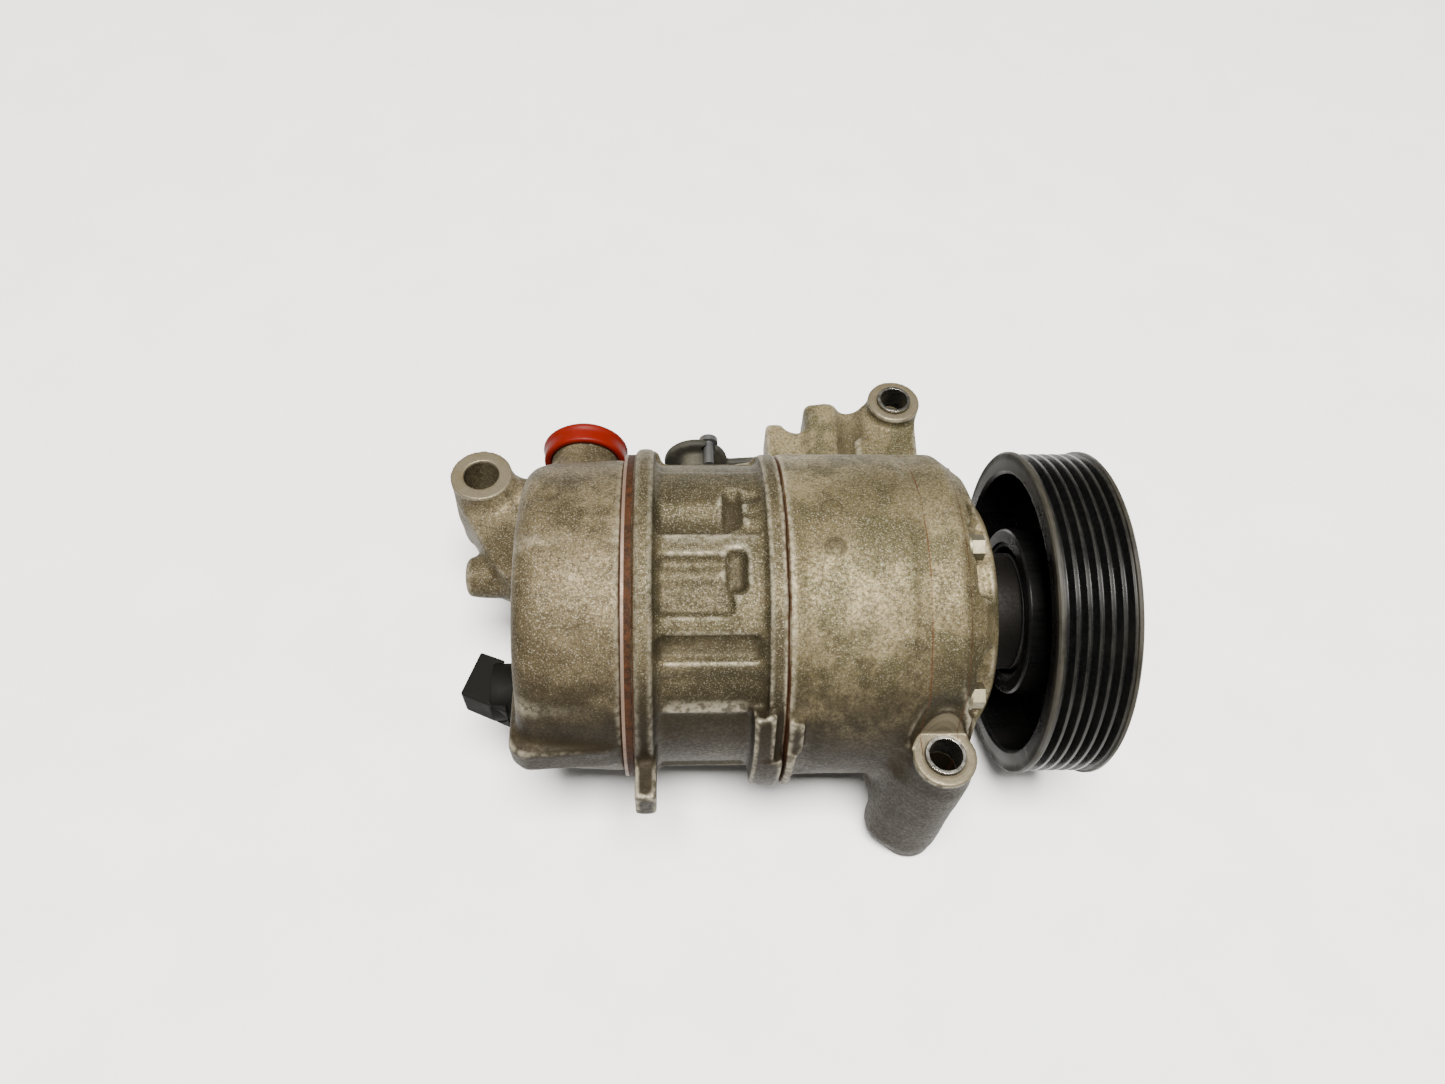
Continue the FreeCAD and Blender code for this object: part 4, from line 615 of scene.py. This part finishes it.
def steel(name, color, rough, grain=400, dark=(0.10, 0.08, 0.05), share=0.35, stretch=None, metallic=1.0,
          bevel=0.0003, seed=0.0):
    """Bright, plated or ground steel with soft stains and fine marks."""
    p = Paint(name)
    marks = p.noise(grain, 4, 0.6, stretch, shift=seed)
    spots = p.noise(140, 4, 0.62, shift=seed + 2)
    tone = p.mix(p.ramp(spots, 0.46, 0.72, 0.0, share), color, dark)
    tone = p.mix(p.ramp(marks, 0.35, 0.7, 0.0, 0.22), tone, tuple(0.5 * c for c in color))
    p.set(Base_Color=tone, Roughness=p.ramp(marks, 0.3, 0.7, rough - 0.07, rough + 0.1))
    p.set(Normal=p.bump(marks, 0.00004, 0.4, p.edges(bevel)))
    p.surface.inputs["Metallic"].default_value = metallic
    return p.material


def plastic(name, color, rough, dust=(0.25, 0.23, 0.18), share=0.3, bevel=0.0003, seed=0.0, grain=900):
    """Moulded plastic or rubber with a light film of dust."""
    p = Paint(name)
    marks = p.noise(grain, 3, 0.6, shift=seed)
    film = p.noise(70, 5, 0.65, shift=seed + 3)
    tone = p.mix(p.ramp(film, 0.44, 0.74, 0.0, share), color, dust)
    tone = p.mix(p.ramp(marks, 0.3, 0.75, 0.0, 0.18), tone, tuple(0.45 * c for c in color))
    p.set(Base_Color=tone, Roughness=p.ramp(film, 0.3, 0.75, rough - 0.05, rough + 0.15))
    p.set(Normal=p.bump(marks, 0.00006, 0.5, p.edges(bevel)))
    p.surface.inputs["Specular IOR Level"].default_value = 0.06
    return p.material


def rusty(name, seed):
    """Rust-brown edge of the steel valve plates."""
    p = Paint(name)
    coarse = p.noise(420, 5, 0.7, shift=seed)
    fine = p.noise(1600, 3, 0.6, shift=seed + 2)
    around = p.noise(45, 3, 0.6, shift=seed + 4)
    tone = p.mix(p.ramp(coarse, 0.35, 0.65), (0.007, 0.003, 0.001), (0.024, 0.008, 0.002))
    tone = p.mix(p.ramp(fine, 0.52, 0.74, 0.0, 0.6), tone, (0.043, 0.020, 0.008))
    tone = p.mix(p.ramp(around, 0.42, 0.64, 0.0, 0.55), tone, (0.011, 0.005, 0.003))
    p.set(Base_Color=tone, Roughness=p.ramp(fine, 0.3, 0.7, 0.62, 0.85))
    p.set(Normal=p.bump(p.math("ADD", coarse, fine), 0.0002, 0.7))
    p.surface.inputs["Specular IOR Level"].default_value = 0.08
    return p.material


def gloss_black(name, seed):
    """Black coated pulley: glossy, with dust on the rims and worn crests on the belt ribs."""
    p = Paint(name)
    x, y, z = p.axes()
    radius = p.radius()
    film = p.noise(55, 5, 0.65, shift=seed)
    marks = p.noise(700, 4, 0.7, (0.12, 1, 1), shift=seed + 1)
    streak = p.noise(260, 3, 0.6, (6, 0.5, 0.5), shift=seed + 2)
    tone = p.mix(p.ramp(marks, 0.35, 0.7), (0.0018, 0.0018, 0.0018), (0.0036, 0.0036, 0.0036))
    rim = p.math("MULTIPLY", p.ramp(p.math("ABSOLUTE", x), 0.0102, 0.0118), p.ramp(radius, 0.0515, 0.0535))
    rim = p.math("MULTIPLY", rim, p.ramp(film, 0.30, 0.62, 0.35, 1.0))
    tone = p.mix(p.math("MULTIPLY", rim, 0.60), tone, (0.018, 0.0153, 0.0099))
    dust = p.ramp(film, 0.50, 0.78, 0.0, 0.25)
    tone = p.mix(dust, tone, (0.0126, 0.0113, 0.0081))
    crest = p.math("MULTIPLY", p.ramp(radius, 0.05395, 0.05425), p.ramp(streak, 0.40, 0.62, 0.1, 1.0))
    tone = p.mix(p.math("MULTIPLY", crest, 0.16), tone, (0.0405, 0.0383, 0.0293))
    rough = p.math("ADD", p.ramp(film, 0.3, 0.7, 0.24, 0.36), p.math("MULTIPLY", rim, 0.30))
    p.set(Base_Color=tone, Roughness=rough, Normal=p.bump(marks, 0.00003, 0.35, p.edges(0.00035)))
    p.surface.inputs["Specular IOR Level"].default_value = 0.15
    return p.material


def make_materials():
    made = {
        "front": cast_metal("front_cast", (0.114, 0.093, 0.050), (0.057, 0.046, 0.022),
                            (0.031, 0.028, 0.012), 1.0,
                            machined=((-0.0431, -0.0568, 0.0101, 0.0099),
                                      (-0.0418, 0.0874, 0.0101, 0.0099)),
                            nose=-0.0252, lines=((-0.0922, 0.0005, 0.9), (-0.0501, 0.0003, 0.8),
                                                 (-0.0384, 0.0003, 0.6)),
                            discs=((-0.0782, 0.0056, 0.0537, 0.12), (-0.0782, -0.0085, 0.0533, 0.6))),
        "block": cast_metal("block_cast", (0.059, 0.048, 0.025), (0.033, 0.027, 0.013),
                            (0.020, 0.017, 0.007), 4.0,
                            lines=((-0.0928, 0.0005, 0.9), (-0.1385, 0.0004, 0.8)), pockets=0.051),
        "rear": cast_metal("rear_cast", (0.087, 0.069, 0.038), (0.042, 0.032, 0.016),
                           (0.026, 0.020, 0.009), 8.0,
                           lines=((-0.1424, 0.0005, 0.8),),
                           machined=((-0.195, 0.0518, 0.0111, 0.0101),)),
        "rust": rusty("rusty_plate", 2.0),
        "gasket": steel("coated_gasket", (0.096, 0.06, 0.042), 0.6, share=0.6, metallic=0.5, seed=3.0),
        "zinc": steel("zinc_plate", (0.13, 0.115, 0.075), 0.50, share=0.55, seed=5.0),
        "sleeve": steel("turned_sleeve", (0.30, 0.29, 0.26), 0.26, stretch=(1, 1, 12), share=0.15,
                        seed=6.0),
        "bearing": steel("bearing_steel", (0.396, 0.396, 0.396), 0.22, stretch=(8, 1, 1), share=0.1,
                         seed=7.0),
        "dark": steel("dull_bearing_ring", (0.03, 0.03, 0.03), 0.5, share=0.3, metallic=0.4, seed=8.0),
        "shaft": steel("ground_shaft", (0.372, 0.372, 0.372), 0.25, stretch=(10, 1, 1), share=0.2,
                       seed=9.0),
        "shoe": steel("polished_shoe", (0.408, 0.408, 0.42), 0.14, share=0.05, seed=10.0),
        "piston": steel("piston_alloy", (0.432, 0.432, 0.42), 0.33, stretch=(9, 1, 1), share=0.1,
                        seed=11.0),
        "brass": steel("valve_brass", (0.372, 0.264, 0.114), 0.3, share=0.2, seed=12.0),
        "tin": steel("contact_tin", (0.456, 0.456, 0.438), 0.3, share=0.1, seed=13.0),
        "black": gloss_black("coated_pulley", 14.0),
        "rubber": plastic("moulded_rubber", (0.011, 0.011, 0.011), 0.62, seed=15.0),
        "red": plastic("red_cap", (0.064, 0.0023, 0.0005), 0.46, (0.05, 0.009, 0.003), 0.35, seed=16.0,
                       grain=300),
        "cover": plastic("dull_cover", (0.014, 0.0135, 0.011), 0.60, (0.0425, 0.039, 0.0275), 0.75,
                         seed=17.0),
        "plug": plastic("plug_black", (0.0015, 0.0015, 0.0012), 0.70, (0.006, 0.0055, 0.004), 0.35,
                        seed=18.0),
        "cage": plastic("cage_polymer", (0.025, 0.025, 0.025), 0.5, seed=19.0),
        "ring": plastic("ring_polymer", (0.0275, 0.024, 0.02), 0.45, seed=20.0),
    }
    return made


FINISHES = {
    "front_housing": "front", "cylinder_block": "block", "rear_housing": "rear",
    "suction_reed_plate": "rust", "valve_plate": "rust", "discharge_reeds": "rust", "head_gasket": "gasket",
    "housing_bolts": "zinc", "cover_screw": "dark", "guide_sleeves": "sleeve", "seam_o_ring": "rubber",
    "shaft_seal": "rubber", "rubber_dampers": "rubber", "retaining_rings": "shaft", "hub_nut": "zinc",
    "suction_port_cap": "red", "discharge_port_cover": "cover", "bearing_inner_ring": "dark",
    "bearing_outer_ring": "dark", "bearing_balls": "shoe", "bearing_cage": "cage", "pulley": "black",
    "hub_plate": "black", "drive_shaft": "shaft", "lug_plate": "shaft", "front_shaft_bearing": "bearing",
    "rear_shaft_bearing": "bearing", "thrust_bearing": "bearing", "swash_plate": "shaft",
    "swash_pins": "bearing", "slide_sleeve": "shaft", "destroke_spring": "shaft", "control_valve": "plug",
    "valve_plunger": "brass", "valve_connector": "plug", "connector_pins": "tin",
}


def finish_of(name):
    if "shoe" in name:
        return "shoe"
    if "piston_ring" in name:
        return "ring"
    if "piston" in name:
        return "piston"
    return FINISHES[name]


def paint(piece, material):
    piece.data.materials.clear()
    piece.data.materials.append(material)


# ---------------------------------------------------------------- stage
def camera():
    """Looks down on the compressor, a little from behind its rear head and turned slightly."""
    azimuth, elevation, roll = (math.radians(v) for v in (-4.84, 56.12, 3.79))
    back = Vector((math.sin(azimuth) * math.cos(elevation), -math.cos(azimuth) * math.cos(elevation),
                   math.sin(elevation)))
    right = (-back).cross(Vector((0, 0, 1))).normalized()
    up = right.cross(-back)
    turned_right = right * math.cos(roll) + up * math.sin(roll)
    turned_up = up * math.cos(roll) - right * math.sin(roll)
    data = bpy.data.cameras.new("view")
    data.sensor_width = 36.0
    data.lens = 26.16
    data.clip_start = 0.01
    seen = bpy.data.objects.new("view", data)
    bpy.context.scene.collection.objects.link(seen)
    seen.matrix_world = Matrix((
        (turned_right[0], turned_up[0], back[0], -0.1265),
        (turned_right[1], turned_up[1], back[1], -0.1794),
        (turned_right[2], turned_up[2], back[2], 0.3118),
        (0, 0, 0, 1),
    ))
    bpy.context.scene.camera = seen


def area_light(name, place, target, width, height, power, color):
    data = bpy.data.lights.new(name, "AREA")
    data.shape = "RECTANGLE"
    data.size, data.size_y = width, height
    data.energy = power
    data.color = color
    lamp = bpy.data.objects.new(name, data)
    bpy.context.scene.collection.objects.link(lamp)
    place, target = Vector(place), Vector(target)
    lamp.location = place
    lamp.rotation_mode = "QUATERNION"
    lamp.rotation_quaternion = (target - place).to_track_quat("-Z", "Y")
    return lamp


def stage():
    mesh = bpy.data.meshes.new("floor")
    side, level = 6.0, -0.0604
    mesh.from_pydata([(-side, -side, level), (side, -side, level), (side, side, level),
                      (-side, side, level)],
                     [], [(0, 1, 2, 3)])
    floor = bpy.data.objects.new("floor", mesh)
    bpy.context.scene.collection.objects.link(floor)
    p = Paint("floor_paper")
    fibre = p.noise(30, 3, 0.5)
    p.set(Base_Color=p.mix(p.ramp(fibre, 0.3, 0.7), (0.49, 0.49, 0.49), (0.51, 0.51, 0.507)))
    p.surface.inputs["Roughness"].default_value = 0.9
    paint(floor, p.material)
    world = bpy.data.worlds.new("studio")
    bpy.context.scene.world = world
    world.use_nodes = True
    sky = world.node_tree.nodes["Background"]
    sky.inputs["Color"].default_value = (1.0, 0.99, 0.97, 1)
    sky.inputs["Strength"].default_value = 0.24
    area_light("key", (-0.115, -0.506, 2.40), (-0.09, 0.0, 0.0), 1.16, 0.76, 445.0, (1.0, 0.975, 0.93))
    area_light("side", (0.9, -0.5, 0.6), (-0.05, 0.0, 0.0), 0.5, 0.5, 3.0, (1.0, 0.98, 0.95))
    area_light("back", (-0.5, 0.9, 0.7), (-0.1, 0.0, 0.0), 0.6, 0.4, 1.5, (1.0, 0.98, 0.95))


# ---------------------------------------------------------------- the object
materials = make_materials()
for node_name, node_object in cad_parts.items():
    paint(node_object, materials[finish_of(node_name)])
    faces = node_object.data.polygons
    faces.foreach_set("use_smooth", [True] * len(faces))

for maker, node_name, finish, slot in (
        (make_front, "front_housing", "front", "cast_housing"),
        (make_block, "cylinder_block", "block", "cast_block"),
        (make_rear, "rear_housing", "rear", "cast_housing")):
    casting = maker()
    paint(casting, materials[finish])
    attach(casting, "casing")
    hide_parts(node_name)

for node_name, piece_name, finish, slot, sigma in (
        ("suction_port_cap", "red_cap", "red", "red_plastic", 0.55),
        ("discharge_port_cover", "dark_cover", "cover", "cover_plastic", 0.6),
        ("valve_connector", "black_connector", "plug", "plug_plastic", 0.35)):
    moulded = rounded_copy(node_name, piece_name, sigma, 0.3)
    paint(moulded, materials[finish])
    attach(moulded, "casing")
    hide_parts(node_name)

# the spring is copied as it stands and its placement baked into its mesh
coil_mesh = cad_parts["destroke_spring"].data.copy()
coil = bpy.data.objects.new("coil_spring", coil_mesh)
bpy.context.scene.collection.objects.link(coil)
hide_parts("destroke_spring")
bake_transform(coil)

stage()
camera()
